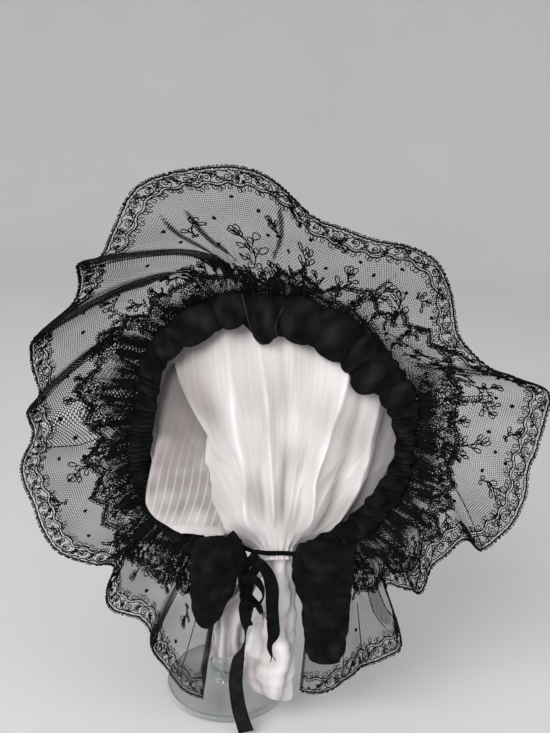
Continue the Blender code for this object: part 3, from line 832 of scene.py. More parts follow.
def make_cotton():
    """Thin cotton, streaked along its threads, with raised stripes and a fine weave, painted
    shade in its folds and on its shaded parts, and painted highlights along its fold crests.
    """
    shader = Shader("white_cotton", 0.8, specular=0.3, sheen=0.25)
    flat = shader.flat(STRIPE_PITCH)
    parts = shader.node("SeparateXYZ", flat)
    across = shader.math("FRACT", parts.outputs["X"])
    off = shader.math("ABSOLUTE", shader.math("SUBTRACT", across, 0.5))
    line = shader.math("SUBTRACT", 1.0, shader.node(
        "MapRange", off, 0.03, 0.19, 0.0, 1.0, interpolation_type="SMOOTHSTEP").outputs[0])
    line = shader.math("MULTIPLY", line, shader.value("stripes"))
    fine = shader.math("SINE", shader.math("MULTIPLY", parts.outputs["Y"], 26.0))
    thread = shader.math("SINE", shader.math("MULTIPLY", parts.outputs["X"], 44.0))
    weave = shader.math("MULTIPLY", fine, thread)
    streak = shader.noise(1, 3, shader.vector("MULTIPLY", flat, (3.4, 0.14, 1)))
    shade = shader.mix(streak, *COTTON_COLOURS)
    shade = shader.mix(shader.value("hollow"), shade, COTTON_HOLLOW)
    shade = shader.mix(shader.value("crest"), shade, COTTON_CREST)
    shade = shader.mix(line, shade, COTTON_STRIPE)
    shade = shader.mix(shader.value("shaded"), shade, COTTON_SHADED)
    shader.set("Base Color", shade)
    height = shader.math("MULTIPLY_ADD", weave, 0.12, line)
    height = shader.math("MULTIPLY_ADD", streak, 1.6, height)
    height = shader.math("MULTIPLY_ADD", shader.noise(420, 3), 0.6, height)
    shader.bump(height, 0.45, 0.3)
    return shader.material


def make_glass():
    """Clear glass, palest face on, darker and greener at its rim and sides as a painted
    reflection, with a painted glint along the rim.
    """
    shader = Shader("clear_glass", 0.04, specular=1.0, transmission=0.5)
    facing = shader.node("LayerWeight", 0.4).outputs["Facing"]
    # Painted dark reflection where the glass turns edge on and on the rim, rings and stem marked
    # on the mesh
    edge = shader.math("MAXIMUM", shader.math("POWER", facing, 1.9), shader.value("rim"))
    tint = shader.mix(shader.noise(30, 2), *GLASS_COLOURS)
    glint = shader.value("glint")
    body = shader.mix(edge, tint, GLASS_EDGE)
    shader.set("Base Color", shader.mix(glint, body, GLASS_GLINT))
    cover = shader.math("MAXIMUM", shader.scaled(edge, 0.15, 0.9), glint)
    shader.set("Alpha", cover)
    return shader.material


def make_stage():
    """Plain matt cloth for the floor."""
    shader = Shader("floor_cloth", 0.9, specular=0.2)
    shader.set("Base Color", shader.mix(shader.noise(3, 3), *FLOOR_COLOURS))
    return shader.material


NET = make_net()
DENSE_LACE = make_dense_lace()
THREAD = make_thread()
RIBBON = make_ribbon("black_ribbon", *RIBBON_COLOURS, mottle=0.26)
WORN_RIBBON = make_ribbon("worn_ribbon", *WORN_RIBBON_COLOURS)
SELVEDGE = make_ribbon("ribbon_selvedge", *SELVEDGE_COLOURS)
COTTON = make_cotton()
GLASS = make_glass()


def finish_piece(made, slot, *nodes):
    """Rides the base and stands for nodes; the slot is not used."""
    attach(made, "root")
    if nodes:
        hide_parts(*nodes)
    return made


def thread_piece(name, threads, slot, material=THREAD, sides=3):
    """A piece of threads alone, which stands for no node."""
    return finish_piece(thread_mesh(name, threads, material, sides), slot)


def lay(cloth, shapes, radius):
    """Threads from flat shapes laid on a cloth."""
    threads = []
    for shape in shapes:
        points, normals = cloth.at(shape)
        if np.linalg.norm(shape[0] - shape[-1]) < 1e-6:
            points[-1] = points[0]
        threads.append((points, normals, radius))
    return threads


# The wide ruffle

def ruffle_grid():
    """The ruffle's surface, with small gathers that fade out from the sewn line."""
    count = len(RUFFLE_FOLDS) - 1
    places = np.linspace(0, count, count * RUFFLE_COLUMNS_PER_FOLD + 1)
    fold = blend(RUFFLE_FOLDS, places)
    sewn_turn, edge_turn, reach, forward, bow = (column[:, None] for column in fold.T)
    depth = np.linspace(1, 0, RUFFLE_ROWS)[None, :]
    sewn = on_face(sewn_turn, SEWN_REACH, RUFFLE_SEWN_FORWARD)
    edge = on_face(edge_turn, reach, forward)
    grid = sewn + (edge - sewn) * depth[..., None]
    flat_reach = band_at(sewn_turn, "outer") + RUFFLE_FLAT_MARGIN
    flat = (flat_reach - SEWN_REACH) / (reach - SEWN_REACH)
    flare = np.maximum(depth - flat, 0) / (1 - flat)
    grid[..., 1] = sewn[..., 1] + (edge[..., 1] - sewn[..., 1]) * flare ** RUFFLE_FLARE_POWER
    angle = np.radians((sewn_turn + edge_turn) / 2)
    sideways = spread(-np.cos(angle), 0, np.sin(angle))
    grid = grid + sideways * (bow * 4 * depth * (1 - depth))[..., None]
    along = np.radians(sewn_turn) * SEWN_REACH
    gathers = np.sin(math.tau * along / RUFFLE_GATHER_PITCH + 2.2 * ripple(5, 40, along))
    grid[..., 1] += gathers * RUFFLE_GATHER_HEIGHT * bell(0.34, 0.2, depth)
    wave = ripple(8, 26, grid[..., 0], grid[..., 2])
    grid[..., 1] += RUFFLE_WAVE * wave * ease(0.3, 0.7, depth)
    return grid, depth


RUFFLE_GRID, RUFFLE_DEPTH = ruffle_grid()
RUFFLE_CLOTH = Cloth(RUFFLE_GRID)


def on_ruffle(grid, place, depth):
    """Points of the ruffle given by place in the folds' table and depth."""
    column = np.clip(np.asarray(place, float), 0, len(RUFFLE_FOLDS) - 1)
    column = column * RUFFLE_COLUMNS_PER_FOLD
    row = (1 - np.asarray(depth, float)) * (RUFFLE_ROWS - 1)
    a = np.minimum(column.astype(int), grid.shape[0] - 2)
    b = np.minimum(row.astype(int), grid.shape[1] - 2)
    s, t = (column - a)[..., None], (row - b)[..., None]
    near = grid[a, b] * (1 - s) + grid[a + 1, b] * s
    far = grid[a, b + 1] * (1 - s) + grid[a + 1, b + 1] * s
    return near * (1 - t) + far * t


def pleat_path(pleat, side=0.0):
    """A pleat's middle, or with side its edge, as places and depths."""
    place, depth = curve(pleat.points, PLEAT_STEPS).T
    if side:
        before = on_ruffle(RUFFLE_GRID, place - 0.1, depth)
        after = on_ruffle(RUFFLE_GRID, place + 0.1, depth)
        spacing = np.linalg.norm(after - before, axis=-1) / 0.2
        place = place + np.clip(side * pleat.width / 2 / spacing, -0.45, 0.45)
    return place, depth


def build_ruffle():
    """The net, denser where it is gathered, pleated or seen edge on."""
    grid, cloth, depth = RUFFLE_GRID, RUFFLE_CLOTH, RUFFLE_DEPTH
    facing = np.abs(cloth.normals[..., 1])
    solid = 1 - (1 - NET_COVER) ** (1 / np.maximum(facing, 0.12))
    cover = NET_COVER + 0.6 * (solid - NET_COVER)
    border = 1 - ease(BORDER_WIDTH - 1.5, BORDER_WIDTH, cloth.down)
    cover = cover - 0.1 * border
    turn = turn_at(grid)
    doubled = hump(18, 40, 120, 165, turn) * ease(0.3, 0.6, depth) * (1 - border)
    cover = cover + DOUBLED_COVER * doubled * (1 - 0.5 * ease(94, 112, turn))
    for pleat in PLEATS:
        outside = np.full(grid.shape[:2], 1e9)
        middle = on_ruffle(grid, *pleat_path(pleat))
        for way, point in zip(np.linspace(1, 0, PLEAT_STEPS), middle):
            pointed = ease(0, 0.3, way)
            if pleat.points[0][1] < 0.95:
                pointed *= ease(1, 0.8, way)
            away = np.linalg.norm(grid - point, axis=-1) - pleat.width / 2 * (0.2 + 0.8 * pointed)
            outside = np.minimum(outside, away)
        inside = 1 - ease(-0.7, 0.7, outside)
        cover = np.maximum(cover, pleat.cover * inside)
    gathered = ease(0.26, 0.02, depth)
    cover = 1 - (1 - cover) * (1 - 0.7 * gathered)
    from_end = np.minimum(cloth.along, cloth.length - cloth.along)[:, None]
    cover = np.maximum(cover, HEM_COVER * (1 - ease(2.5, 4, from_end)))
    cover = np.clip(cover + 0.04 * ripple(3, 30, grid[..., 0], grid[..., 2]), 0, 0.98)
    net = sheet_object("ruffle_net", grid, NET, cloth.flat, cover=cover)
    return finish_piece(net, "black_net", "outer_ruffle")


def border_shapes(length):
    """The embroidered border: cords, curls between them and loops on both sides."""
    u = np.arange(0, length, 1.4)
    cords = []
    for inward, sway, pitch, radius in (
        (0.8, 0.4, 3.3, 0.75),
        (3.0, 0.5, 7.7, 0.45),
        (BORDER_WIDTH, 1.3, 17, 0.62),
        (BORDER_WIDTH - 2.1, 1.2, 17, 0.45),
    ):
        v = inward + sway * np.sin(math.tau * u / pitch) + 0.3 * ripple(4, 9, u)
        cords.append((spread(u, v), radius))
    curls, loops = [], []
    chance = np.random.default_rng(12)
    for number, start in enumerate(np.arange(1, length - 17, MOTIF_PITCH)):
        flip = 1 if number % 2 else -1
        middle = (start + 4.6, 7.2 + 0.4 * flip)
        curls.append(spiral(4.0, 0.5, 1.75 * flip, -90 * flip, 20) + middle)
        small = spiral(2.4, 0.4, -1.3 * flip, 90 * flip, 12)
        curls.append(small + (start + 12, 7.2 - 1.7 * flip))
        reach = np.linspace(0, math.pi, 12)
        arch = spread(MOTIF_PITCH * reach / math.pi, 3.9 * np.cos(reach))
        curls.append(arch * (1, flip) + (start + 4.6, 7.1))
        for lean in (40, 130, 250):
            small = turned(leaf(3.4, 2.2, 7), lean + chance.uniform(-25, 25))
            curls.append(small + (start + 12 + chance.uniform(-2, 2), 7.1 + 1.6 * flip))
    for start in np.arange(2, length - 4, 7.9):
        curl = spiral(chance.uniform(1.2, 2.0), 0.4, 1.2, chance.uniform(0, 360), 8)
        curls.append(curl + (start, 7.1 + chance.uniform(-3.2, 3.2)))
    for start in np.arange(1, length - 2, 5.2):
        v = BORDER_WIDTH + 1.1 * math.sin(math.tau * start / 17) + 0.3
        loops.append(turned(leaf(4.6, 3.0, 8), chance.uniform(-42, 42), start, v))
    for start in np.arange(1, length - 2, 2.3):
        place = start + chance.uniform(-0.5, 0.5)
        loops.append(turned(leaf(1.9, 1.5, 7), 180 + chance.uniform(-45, 45), place, 0.7))
    return cords, curls, loops


def build_border():
    """The border's threads, laid along the ruffle's free edge."""
    cords, curls, loops = border_shapes(RUFFLE_CLOTH.length)
    threads = []
    for shape, radius in cords:
        threads += lay(RUFFLE_CLOTH, [shape], radius)
    threads += lay(RUFFLE_CLOTH, curls, BORDER_THREAD)
    threads += lay(RUFFLE_CLOTH, loops, PICOT_THREAD)
    return thread_piece("ruffle_border", threads, "black_net")


def on_cloth(cloth, shapes, place, lean):
    """Shapes turned and moved to a flat place, kept to their true width where the cloth
    is gathered."""
    facing = abs(cloth.at(np.array([place]))[1][0, 1])
    narrow = cloth.squeeze(*place) * max(facing, 0.6)
    return [turned(shape, 180 + lean) / (narrow, 1) + place for shape in shapes]


def ruffle_flat(place, depth):
    """The flat position on the ruffle of a place in the folds' table and a depth."""
    column = min(int(place * RUFFLE_COLUMNS_PER_FOLD), len(RUFFLE_GRID) - 1)
    row = (1 - depth) * (RUFFLE_ROWS - 1)
    inward = np.interp(row, np.arange(RUFFLE_ROWS), RUFFLE_CLOTH.down[column])
    return np.array((RUFFLE_CLOTH.along[column], inward))


def dot(chance):
    """A small filled oval, wound from one thread."""
    return spiral(1.2, 0.15, 2.1, chance.uniform(0, 360), 12) * (1, chance.uniform(0.8, 1.3))


def build_sprays():
    """Sprigs and dots over the net, and closer ones that grow out from the frill."""
    chance = np.random.default_rng(21)
    shapes, dots = [], []
    for spray in SPRAYS:
        place = ruffle_flat(spray.place, spray.depth)
        shapes += on_cloth(RUFFLE_CLOTH, sprig(chance, spray.size * 1.2), place, spray.lean)
    for number, place in enumerate(np.arange(0.5, len(RUFFLE_FOLDS) - 1.5, 0.5)):
        fold = Fold(*blend(RUFFLE_FOLDS, np.array([place]))[0])
        open_net = bare(fold.edge_turn) > 0.5
        edge = band_at(fold.sewn_turn, "frill") - 12 * open_net
        free = fold.reach - SEWN_REACH
        out = (edge + chance.uniform(-7, 3) - SEWN_REACH) / free
        if out < 0.72:
            legs = sprig(chance, chance.uniform(10, 15) + 4 * open_net)
            grown = on_cloth(RUFFLE_CLOTH, legs, ruffle_flat(place, out), chance.uniform(-35, 35))
            shapes += [] if open_net and number % 2 else grown
        inner = out - 8 / free
        curl = spiral(chance.uniform(3, 4.6), 0.6, 1.6, chance.uniform(0, 360), 16)
        if not open_net:
            shapes += on_cloth(RUFFLE_CLOTH, [curl], ruffle_flat(place + 0.2, inner), 0)
    for place, depth in DOTS:
        dots += on_cloth(RUFFLE_CLOTH, [dot(chance)], ruffle_flat(place, depth), 0)
    threads = lay(RUFFLE_CLOTH, shapes, SPRIG_THREAD) + lay(RUFFLE_CLOTH, dots, DOT_THREAD)
    lines = [curve(crease, 30).T for crease in CREASES]
    lines += [pleat_path(pleat, side) for pleat in PLEATS if pleat.width > 4.2
              for side in (-1, 1)]
    for place, depth in lines:
        depth = np.clip(depth, 0, 1)
        flat = np.array([ruffle_flat(max(p, 0), d) for p, d in zip(place, depth)])
        normals = RUFFLE_CLOTH.at(flat)[1]
        threads.append((on_ruffle(RUFFLE_GRID, place, depth), normals, CREASE_THREAD))
    return thread_piece("ruffle_sprays", threads, "black_net")


# The short dense frill

def narrowed(turn):
    """How much of the band's outer side the lace covers, most at the opening's sides."""
    return LACE_OVER_BAND * (hump(26, 48, 108, 126, turn) + hump(250, 264, 318, 336, turn))


def frill_grid():
    """The frill's surface in lobes, with fine pleats in each."""
    first, last = BAND_SECTIONS[0].turn, BAND_SECTIONS[-1].turn
    share = np.linspace(0, 1, FRILL_LOBES * FRILL_COLUMNS_PER_LOBE + 1)[:, None]
    turn = first + (last - first) * share
    outer, frill, flare = band_at(turn, "outer", "frill", "flare")
    free = np.linspace(1, 0, FRILL_ROWS)[None, :]
    count = FRILL_LOBES * share + 0.45 * ripple(9, 0.13, share)
    lobe = np.abs(np.sin(math.pi * count)) ** 0.55
    reach = frill + FRILL_LOBE_HEIGHT * (lobe - 0.62) + 2.5 * ripple(2, 0.05, share)
    start = outer - 4 - narrowed(turn)
    reach = start + (reach - start) * free
    forward = FRILL_SEWN_FORWARD + flare * free ** 1.2
    forward = forward + FRILL_BILLOW * (lobe ** 2 - 0.5) * ease(0, 0.8, free)
    pleats = np.sin(math.tau * FRILL_PLEATS_PER_LOBE * count + 2 * ripple(19, 0.02, share))
    forward = forward + 1.1 * pleats * np.sin(math.pi * free)
    sway = 1.4 * np.sin(math.tau * count) * free
    return on_face(turn + sway, reach, forward), count[:, 0]


FRILL_GRID, FRILL_COUNT = frill_grid()
FRILL_CLOTH = Cloth(FRILL_GRID)


def build_frill():
    """The frill's close lace, thin and open at the upper right."""
    cloth = FRILL_CLOTH
    streak = ripple(31, 6.5, cloth.along[:, None], 0.2 * cloth.down)
    patchy = ripple(6, 17, FRILL_GRID[..., 0], FRILL_GRID[..., 2])
    thin = bare(turn_at(FRILL_GRID))
    cover = 0.44 + 0.56 * ease(8, 23, cloth.down) + 0.2 * streak + 0.2 * patchy
    cover = np.clip(cover * (1 - 0.62 * thin), 0.32 - 0.12 * thin, 1.3)
    made = sheet_object("frill_lace", FRILL_GRID, DENSE_LACE, cloth.flat, cover=cover)
    return finish_piece(made, "black_lace", "inner_frill")


def flower(chance, size):
    """Six outlined petals round a small ring."""
    first = chance.uniform(0, 60)
    petals = [turned(leaf(size, size * 0.62, 7), first + 60 * number) for number in range(6)]
    return petals + [spiral(size * 0.22, size * 0.2, 1, 0, 6)]


def build_frill_threads():
    """Flowers, curls and leaves in each lobe, and a picot edge."""
    cloth = FRILL_CLOTH
    chance = np.random.default_rng(5)
    u = np.arange(0, cloth.length, 1.4)
    threads = lay(cloth, [spread(u, 0.6 + 0.3 * np.sin(u * 1.7))], 0.7)
    threads += lay(cloth, [spread(u, 3.6 + 0.6 * np.sin(u * 0.9))], 0.45)
    shapes = []
    for start in np.arange(1, cloth.length - 2, 3.1):
        shapes.append(turned(leaf(2.8, 2.2, 6), 180 + chance.uniform(-30, 30), start, 0.4))
        shapes.append(turned(leaf(2.6, 2, 6), chance.uniform(-30, 30), start + 1.4, 0.8))
    middles = np.interp(np.arange(0, FRILL_LOBES) + 0.5, FRILL_COUNT, cloth.along)
    for middle in middles:
        place = np.array((middle, 10.5))
        petals = flower(chance, 6.2)
        if bare(turn_at(cloth.at(place[None])[0][0])) > 0.5:
            continue
        shapes += [petal + place for petal in petals]
        for way in (-1, 1):
            curl = spiral(4.0, 0.6, 1.5 * way, 90, 14)
            shapes.append(curl + (middle + way * 10, 8.6))
            small = spiral(2.4, 0.4, -1.3 * way, 0, 10)
            shapes.append(small + (middle + way * 7, 16))
            for step in range(3):
                lean = way * chance.uniform(20, 80)
                spot = (middle + way * (2 + 4 * step), 17 + chance.uniform(-1.5, 3))
                shapes.append(turned(leaf(4.4, 2.6, 7), lean, *spot))
    for start in np.arange(2, cloth.length - 3, 4.4):
        place = (start, 23 + chance.uniform(-2, 3))
        if bare(turn_at(cloth.at(np.array([place]))[0][0])) > 0.5 and int(start / 4.4) % 2:
            continue
        curl = spiral(chance.uniform(1.6, 2.6), 0.4, 1.3, chance.uniform(0, 360), 9)
        shapes.append(curl + place)
    threads += lay(cloth, shapes, FRILL_THREAD)
    return thread_piece("frill_threads", threads, "black_lace")


# The ruched ribbon round the opening

def tube_parts(grids):
    """Points and faces of closed tubes whose rings are their grids' columns."""
    points, faces, count = [], [], 0
    for grid in grids:
        columns, rows = grid.shape[:2]
        ring, start = np.arange(rows), np.arange(columns - 1)[:, None] * rows + count
        here, after = start + ring, start + (ring + 1) % rows
        quads = np.stack((here, here + rows, after + rows, after), axis=-1)
        faces += quads.reshape(-1, 4).tolist()
        ring += count
        faces += [ring.tolist(), (ring + (columns - 1) * rows)[::-1].tolist()]
        points.append(grid.reshape(-1, 3))
        count += columns * rows
    return np.concatenate(points), faces


def tubes_object(name, grids, flats, material, **values):
    """One closed body for each grid, all in one mesh."""
    points, faces = tube_parts(grids)
    made = make_mesh(name, points, faces, material, closed=True)
    return set_values(made, np.concatenate([flat.reshape(-1, 2) for flat in flats]), **values)


def inner_reach(turn):
    """Where the band ends round the opening."""
    edge = np.array(INNER_EDGE)
    return np.interp(turn, edge[:, 0], edge[:, 1])


def puff_grid(puff, chance):
    """One gathered puff of the ribbon: a soft pillow across the band."""
    lean, phase = chance.uniform(-0.35, 0.35), chance.uniform(0, math.tau, 3)
    slope = np.linspace(0.06, math.pi - 0.06, 22)[:, None]
    round_ = (math.tau * np.arange(26) / 26)[None, :]
    across = np.sin(slope) * np.cos(round_)
    radial = np.cos(slope) + 0 * round_
    front = np.sin(slope) * np.sin(round_)
    across = np.sign(across) * np.abs(across) ** 0.8
    folds = 0.8 * np.sin(3.6 * across + 2.6 * radial + phase[0])
    folds = folds + 0.45 * np.sin(8 * across - 4 * radial + phase[1])
    folds = folds - 1.5 * np.abs(np.sin(2.3 * across + 6 * lean * radial + phase[2])) ** 6
    middle, half = (puff.inner + puff.outer) / 2, (puff.outer - puff.inner) / 2
    turn = puff.turn + puff.width / 2 * (across + lean * radial * 0.5)
    reach = middle + half * np.sign(radial) * np.abs(radial) ** 0.9
    high = np.sign(front) * np.abs(front) ** 0.75
    forward = 2.4 + (puff.height - 3) * np.maximum(high, 0.5 * high)
    forward = forward + folds * np.clip(high, 0, 1)
    grid = on_face(turn, reach, forward)
    flat = spread(across * puff.width, radial * half)
    # Painted light: the puff paler on its front, on the crests of its folds and towards its outer
    # side, darker in the creases
    worn = np.clip(high, 0, 1) ** 2 * np.clip(0.5 + 0.42 * folds + 0.3 * radial, 0, 1)
    return grid, flat, worn


def gathered_tube():
    """The ribbon drawn up into close uneven gathers, lower where the puffs lie on it."""
    turn = np.linspace(BAND_SECTIONS[0].turn, BAND_SECTIONS[-1].turn, GATHER_COLUMNS)[:, None]
    along = turn * 1.85
    angle = (math.tau * (np.arange(GATHER_SIDES) + 0.5) / GATHER_SIDES)[None, :]
    side, front = np.cos(angle), np.sin(angle)
    under = hump(124, 131, 246, 252, turn)
    inner = inner_reach(turn) + 0.8 + 0.8 * ripple(51, 14, along) * (1 - under) + 1.5 * under
    outer = band_at(turn, "outer") - 1 - narrowed(turn)
    outer = outer + 1.2 * ripple(55, 9, along)
    reach = (inner + outer) / 2 + side * (outer - inner) / 2
    phase = along / 4.4 + 0.7 * ripple(52, 24, along) + 0.3 * ripple(53, 15, along, 14 * side)
    ridge = 1 - 2 * np.abs(np.sin(math.pi * phase)) ** 0.8
    lumps = ripple(54, 21, along, 13 * side)
    high = 1.3 * ridge + 1.5 * lumps
    forward = BAND_BACK + (3.3 - 0.7 * under) * (1 + front)
    forward = forward + high * np.clip(front, 0, 1) ** 1.6 * (1 - 0.7 * under)
    flat = spread(along, angle * 6)
    # Painted light: the gathers paler on their front and crests, with none where the puffs lie
    # over them
    worn = np.clip(0.22 + 0.2 * high, 0, 0.7) * np.clip(front, 0, 1) * (1 - under)
    return on_face(turn, reach, np.maximum(forward, BAND_BACK)), flat, worn


def build_band():
    """The gathered ribbon and its separate puffs in one mesh."""
    chance = np.random.default_rng(40)
    made = [gathered_tube()] + [puff_grid(puff, chance) for puff in PUFFS]
    grids, flats, worn = zip(*made)
    worn = np.concatenate([each.ravel() for each in worn])
    band = tubes_object("band_ruching", grids, flats, RIBBON, worn=worn)
    return finish_piece(band, "black_ribbon", "face_band")


def facing_front(points):
    """Normals towards the viewer for threads that lie on no cloth."""
    return np.broadcast_to((0.0, -1.0, 0.0), points.shape)


def build_selvedges(band):
    """The ribbon's paler woven edges where they show along the puffs."""
    corners = [vertex.co for vertex in band.data.vertices]
    surface = BVHTree.FromPolygons(corners, [tuple(f.vertices) for f in band.data.polygons])
    threads = []
    for line in SELVEDGES:
        turn, reach = curve(line, 36).T
        points = []
        for point in on_face(turn, reach, 40):
            hit = surface.ray_cast(Vector(point) * MM, Vector((0, 1, 0)))[0]
            if hit and hit.y / MM < CAP_CENTRE[1] - 3:
                points.append((point[0], hit.y / MM - 0.1, point[2]))
        points = np.array(points)
        threads.append((points, facing_front(points), SELVEDGE_THREAD))
    thread_piece("band_selvedges", threads, "black_ribbon", SELVEDGE, sides=5)


# The crown

def build_crown():
    """The net shell behind the opening, drawn together at the back."""
    columns = CROWN_GATHERS * CROWN_COLUMNS_PER_GATHER
    turn = np.linspace(0, 360, columns + 1)[:, None]
    slope = np.sin(np.radians(np.concatenate((np.linspace(0, 88, 45), (89, 89.6)))))[None, :]
    from_bottom = np.minimum(turn, 360 - turn)
    cut = np.cos(np.radians(90 * np.clip(from_bottom / NAPE_HALF_TURN, 0, 1))) ** 2
    front = CROWN_FRONT + NAPE_CUT * cut * (from_bottom < NAPE_HALF_TURN)
    behind = front + (CROWN_BACK - front) * slope
    share = np.maximum(behind - CROWN_WIDEST, 0) / (CROWN_BACK - CROWN_WIDEST)
    reach = CROWN_REACH * np.sqrt(np.maximum(1 - share ** 2, 0))
    gather = np.cos(np.radians(turn * CROWN_GATHERS)) + 0.4 * np.cos(
        np.radians(turn * CROWN_GATHERS * 3))
    near_back = ease(0.75, 0.98, slope)
    middle = slope * np.cos(slope * math.pi / 2)
    reach = reach + gather * (CROWN_GATHER_HEIGHT * middle + near_back)
    grid = on_face(turn, np.maximum(reach, 0.6), -behind - 0.5 * gather * near_back)
    cloth = Cloth(grid)
    drawn = ease(0.25, 0.95, slope) * (0.07 + 0.13 * gather) + 0.42 * ease(0.97, 1, slope)
    cover = 0.4 + drawn + 0.04 * ripple(4, 0.3, slope, turn / 90)
    cover = np.clip(np.broadcast_to(cover, grid.shape[:2]), 0.3, 0.97)
    made = sheet_object("crown_net", grid, NET, cloth.flat, cover=cover)
    finish_piece(made, "black_net", "crown")
    return made, cloth


def build_crown_threads(cloth):
    """Rows of sprigs and dots round the crown, and its hem."""
    chance = np.random.default_rng(33)
    u = np.arange(0, cloth.length, 1.6)
    threads = lay(cloth, [spread(u, 0.6 + 0.2 * np.sin(u))], HEM_THREAD)
    shapes, dots = [], []
    for number, (inward, spacing, size) in enumerate(
            ((22, 52, 20), (48, 60, 22), (78, 72, 22), (110, 96, 19))):
        for along in np.arange(spacing * (0.3 + 0.5 * (number % 2)), cloth.length - 6, spacing):
            place = np.array((along + chance.uniform(-4, 4), inward))
            shapes += on_cloth(cloth, sprig(chance, size), place, chance.uniform(-30, 30))
            for step in (-0.25, 0.25, 0.5):
                spot = place + (spacing * step, chance.uniform(-9, 9))
                if 4 < spot[0] < cloth.length - 4:
                    dots += on_cloth(cloth, [dot(chance)], spot, 0)
    threads += lay(cloth, shapes, CROWN_THREAD) + lay(cloth, dots, HEM_THREAD)
    return thread_piece("crown_sprigs", threads, "black_net")


# The cloth ball and its ends

def form_frame():
    """The neck's axis and two directions across it."""
    axis = unit(NECK_END - FORM_CENTRE)
    side = unit(np.cross(axis, (1, 0, 0)))
    return axis, side, unit(np.cross(axis, side))


def form_folds(around, angle):
    """How far the folds stand out, and how bright the painted highlights along their crests
    are, for places round the neck's axis and away from it."""
    total, crest = 0, 0
    for number, ridge in enumerate(FORM_RIDGES):
        middle = np.interp(angle, FOLD_ANGLES, ridge.around) + 0.8 * ripple(number, 55, angle)
        off = (around - middle + 180) % 360 - 180
        wide = np.where(off > 0, ridge.left, ridge.right)
        wide = wide * (0.75 + 0.5 * np.clip(angle / 60, 0, 1))
        total = total + 1.15 * ridge.height * np.exp(-(np.abs(off) / wide) ** 1.25)
        # Painted highlight along the crest of each standing fold, unevenly bright along it
        worn = 0.75 + 0.5 * ripple(number + 70, 40, angle)
        bright = (max(ridge.height, 0) / 6) ** 2 * worn * (1 if number else 0.25)
        crest = crest + bright * np.exp(-(np.abs(off) / 1.5) ** 1.5)
    round_neck = np.radians(around)
    for folds, height, seed in ((29, 0.45, 1), (47, 0.22, 2), (83, 0.1, 3)):
        bend = 1.5 * ripple(seed, 45, angle, around / 3)
        fade = 0.4 + 0.6 * ease(100, 40, angle)
        total = total + height * fade * (1 - 2 * np.abs(np.sin(round_neck * folds / 2 + bend)))
    return total, np.clip(crest * ease(14, 24, angle) * (1 - 0.85 * ease(70, 112, angle)), 0, 1)


def build_form():
    """The stuffed ball, gathered into folds that run up from its neck."""
    axis, side, other = form_frame()
    around = np.linspace(-180, 180, FORM_COLUMNS, endpoint=False)
    turn = np.radians(around)[:, None]
    way = np.cos(turn) * side + np.sin(turn) * other
    angle = np.radians(14 + 162 * np.linspace(0, 1, FORM_ROWS))
    direction = (axis * np.cos(angle)[None, :, None]
                 + way[:, None] * np.sin(angle)[None, :, None])
    ahead = np.clip(-direction[..., 1] / 0.5, 0, 1)
    rounding = np.where(ahead > 0, FORM_FRONT_ROUNDING, FORM_BACK_ROUNDING)
    across = np.hypot(direction[..., 0], direction[..., 2]) / FORM_RADIUS
    deep = np.abs(direction[..., 1]) / FORM_DEPTH
    reach = (across ** rounding + deep ** rounding) ** (-1 / rounding)
    near = np.clip(angle / math.radians(NECK_SWELL_ANGLE), 0, 1)[None, :]
    reach = reach + NECK_SWELL * ahead * np.cos(math.pi / 2 * near) ** 2
    degrees = np.degrees(angle)[None, :]
    folds, crest = form_folds(around[:, None], degrees)
    show = ease(13, 26, degrees) * (1 - 0.85 * ease(118, 150, degrees))
    shown = ease(0.26, 0.48, -direction[..., 1])
    reach = reach - 1.6 + folds * show * (0.15 + 0.85 * shown)
    shell = FORM_CENTRE + direction * reach[..., None]
    neck = []
    for back, radius in ((0, NECK_RADIUS + NECK_FLARE), (NECK_LENGTH / 3, NECK_RADIUS - 0.4),
                         (NECK_LENGTH * 2 / 3, NECK_RADIUS - 0.2),
                         (NECK_LENGTH, NECK_RADIUS + NECK_FLARE)):
        pleat = 0.9 * np.sin(turn * 21)
        neck.append(NECK_END - axis * back + way * (radius + pleat))
    grid = np.concatenate((np.stack(neck, axis=1), shell), axis=1)
    arc = np.concatenate((np.linspace(0, 10, 4), 14 + np.degrees(angle) * 1.8))
    flat = spread(around[:, None] / 360 * 660, arc[None, :])
    hollow, bright = np.zeros(grid.shape[:2]), np.zeros(grid.shape[:2])
    # Painted shade: an uneven base, deeper on the ball's right side and on its upper left beside
    # the first fold, added to the painted shade in the folds' valleys; painted highlights along
    # the crests
    tone = 0.2 + 0.22 * ripple(61, 45, around[:, None] * 1.3, degrees)
    tone = tone + 0.3 * ease(-38, -75, around[:, None])
    off = around[:, None] - np.interp(degrees, FOLD_ANGLES, FORM_RIDGES[0].around)
    high = ease(85, 116, degrees)
    tone = tone + ((0.7 + 0.25 * high) * ease(-16 - 17 * high, -6 - 4 * high, off)
                   * ease(62, 84, degrees))
    hollow[:, 4:] = np.clip(0.66 * np.clip((0.3 - folds) / 3.0, 0, 1) * show + tone, 0, 1)
    bright[:, 4:] = crest
    made = set_values(solid_object("cotton_ball", grid, COTTON), flat,
                      stripes=np.full(grid.shape[:2], 0.05), hollow=hollow, crest=bright)
    return finish_piece(made, "white_cotton", "padded_form")


def form_front(x, z):
    """The ball's front surface without its folds."""
    across = np.hypot(x - FORM_CENTRE[0], z - FORM_CENTRE[2]) / FORM_RADIUS
    share = np.maximum(1 - across ** FORM_FRONT_ROUNDING, 0) ** (1 / FORM_FRONT_ROUNDING)
    return FORM_CENTRE[1] - FORM_DEPTH * share


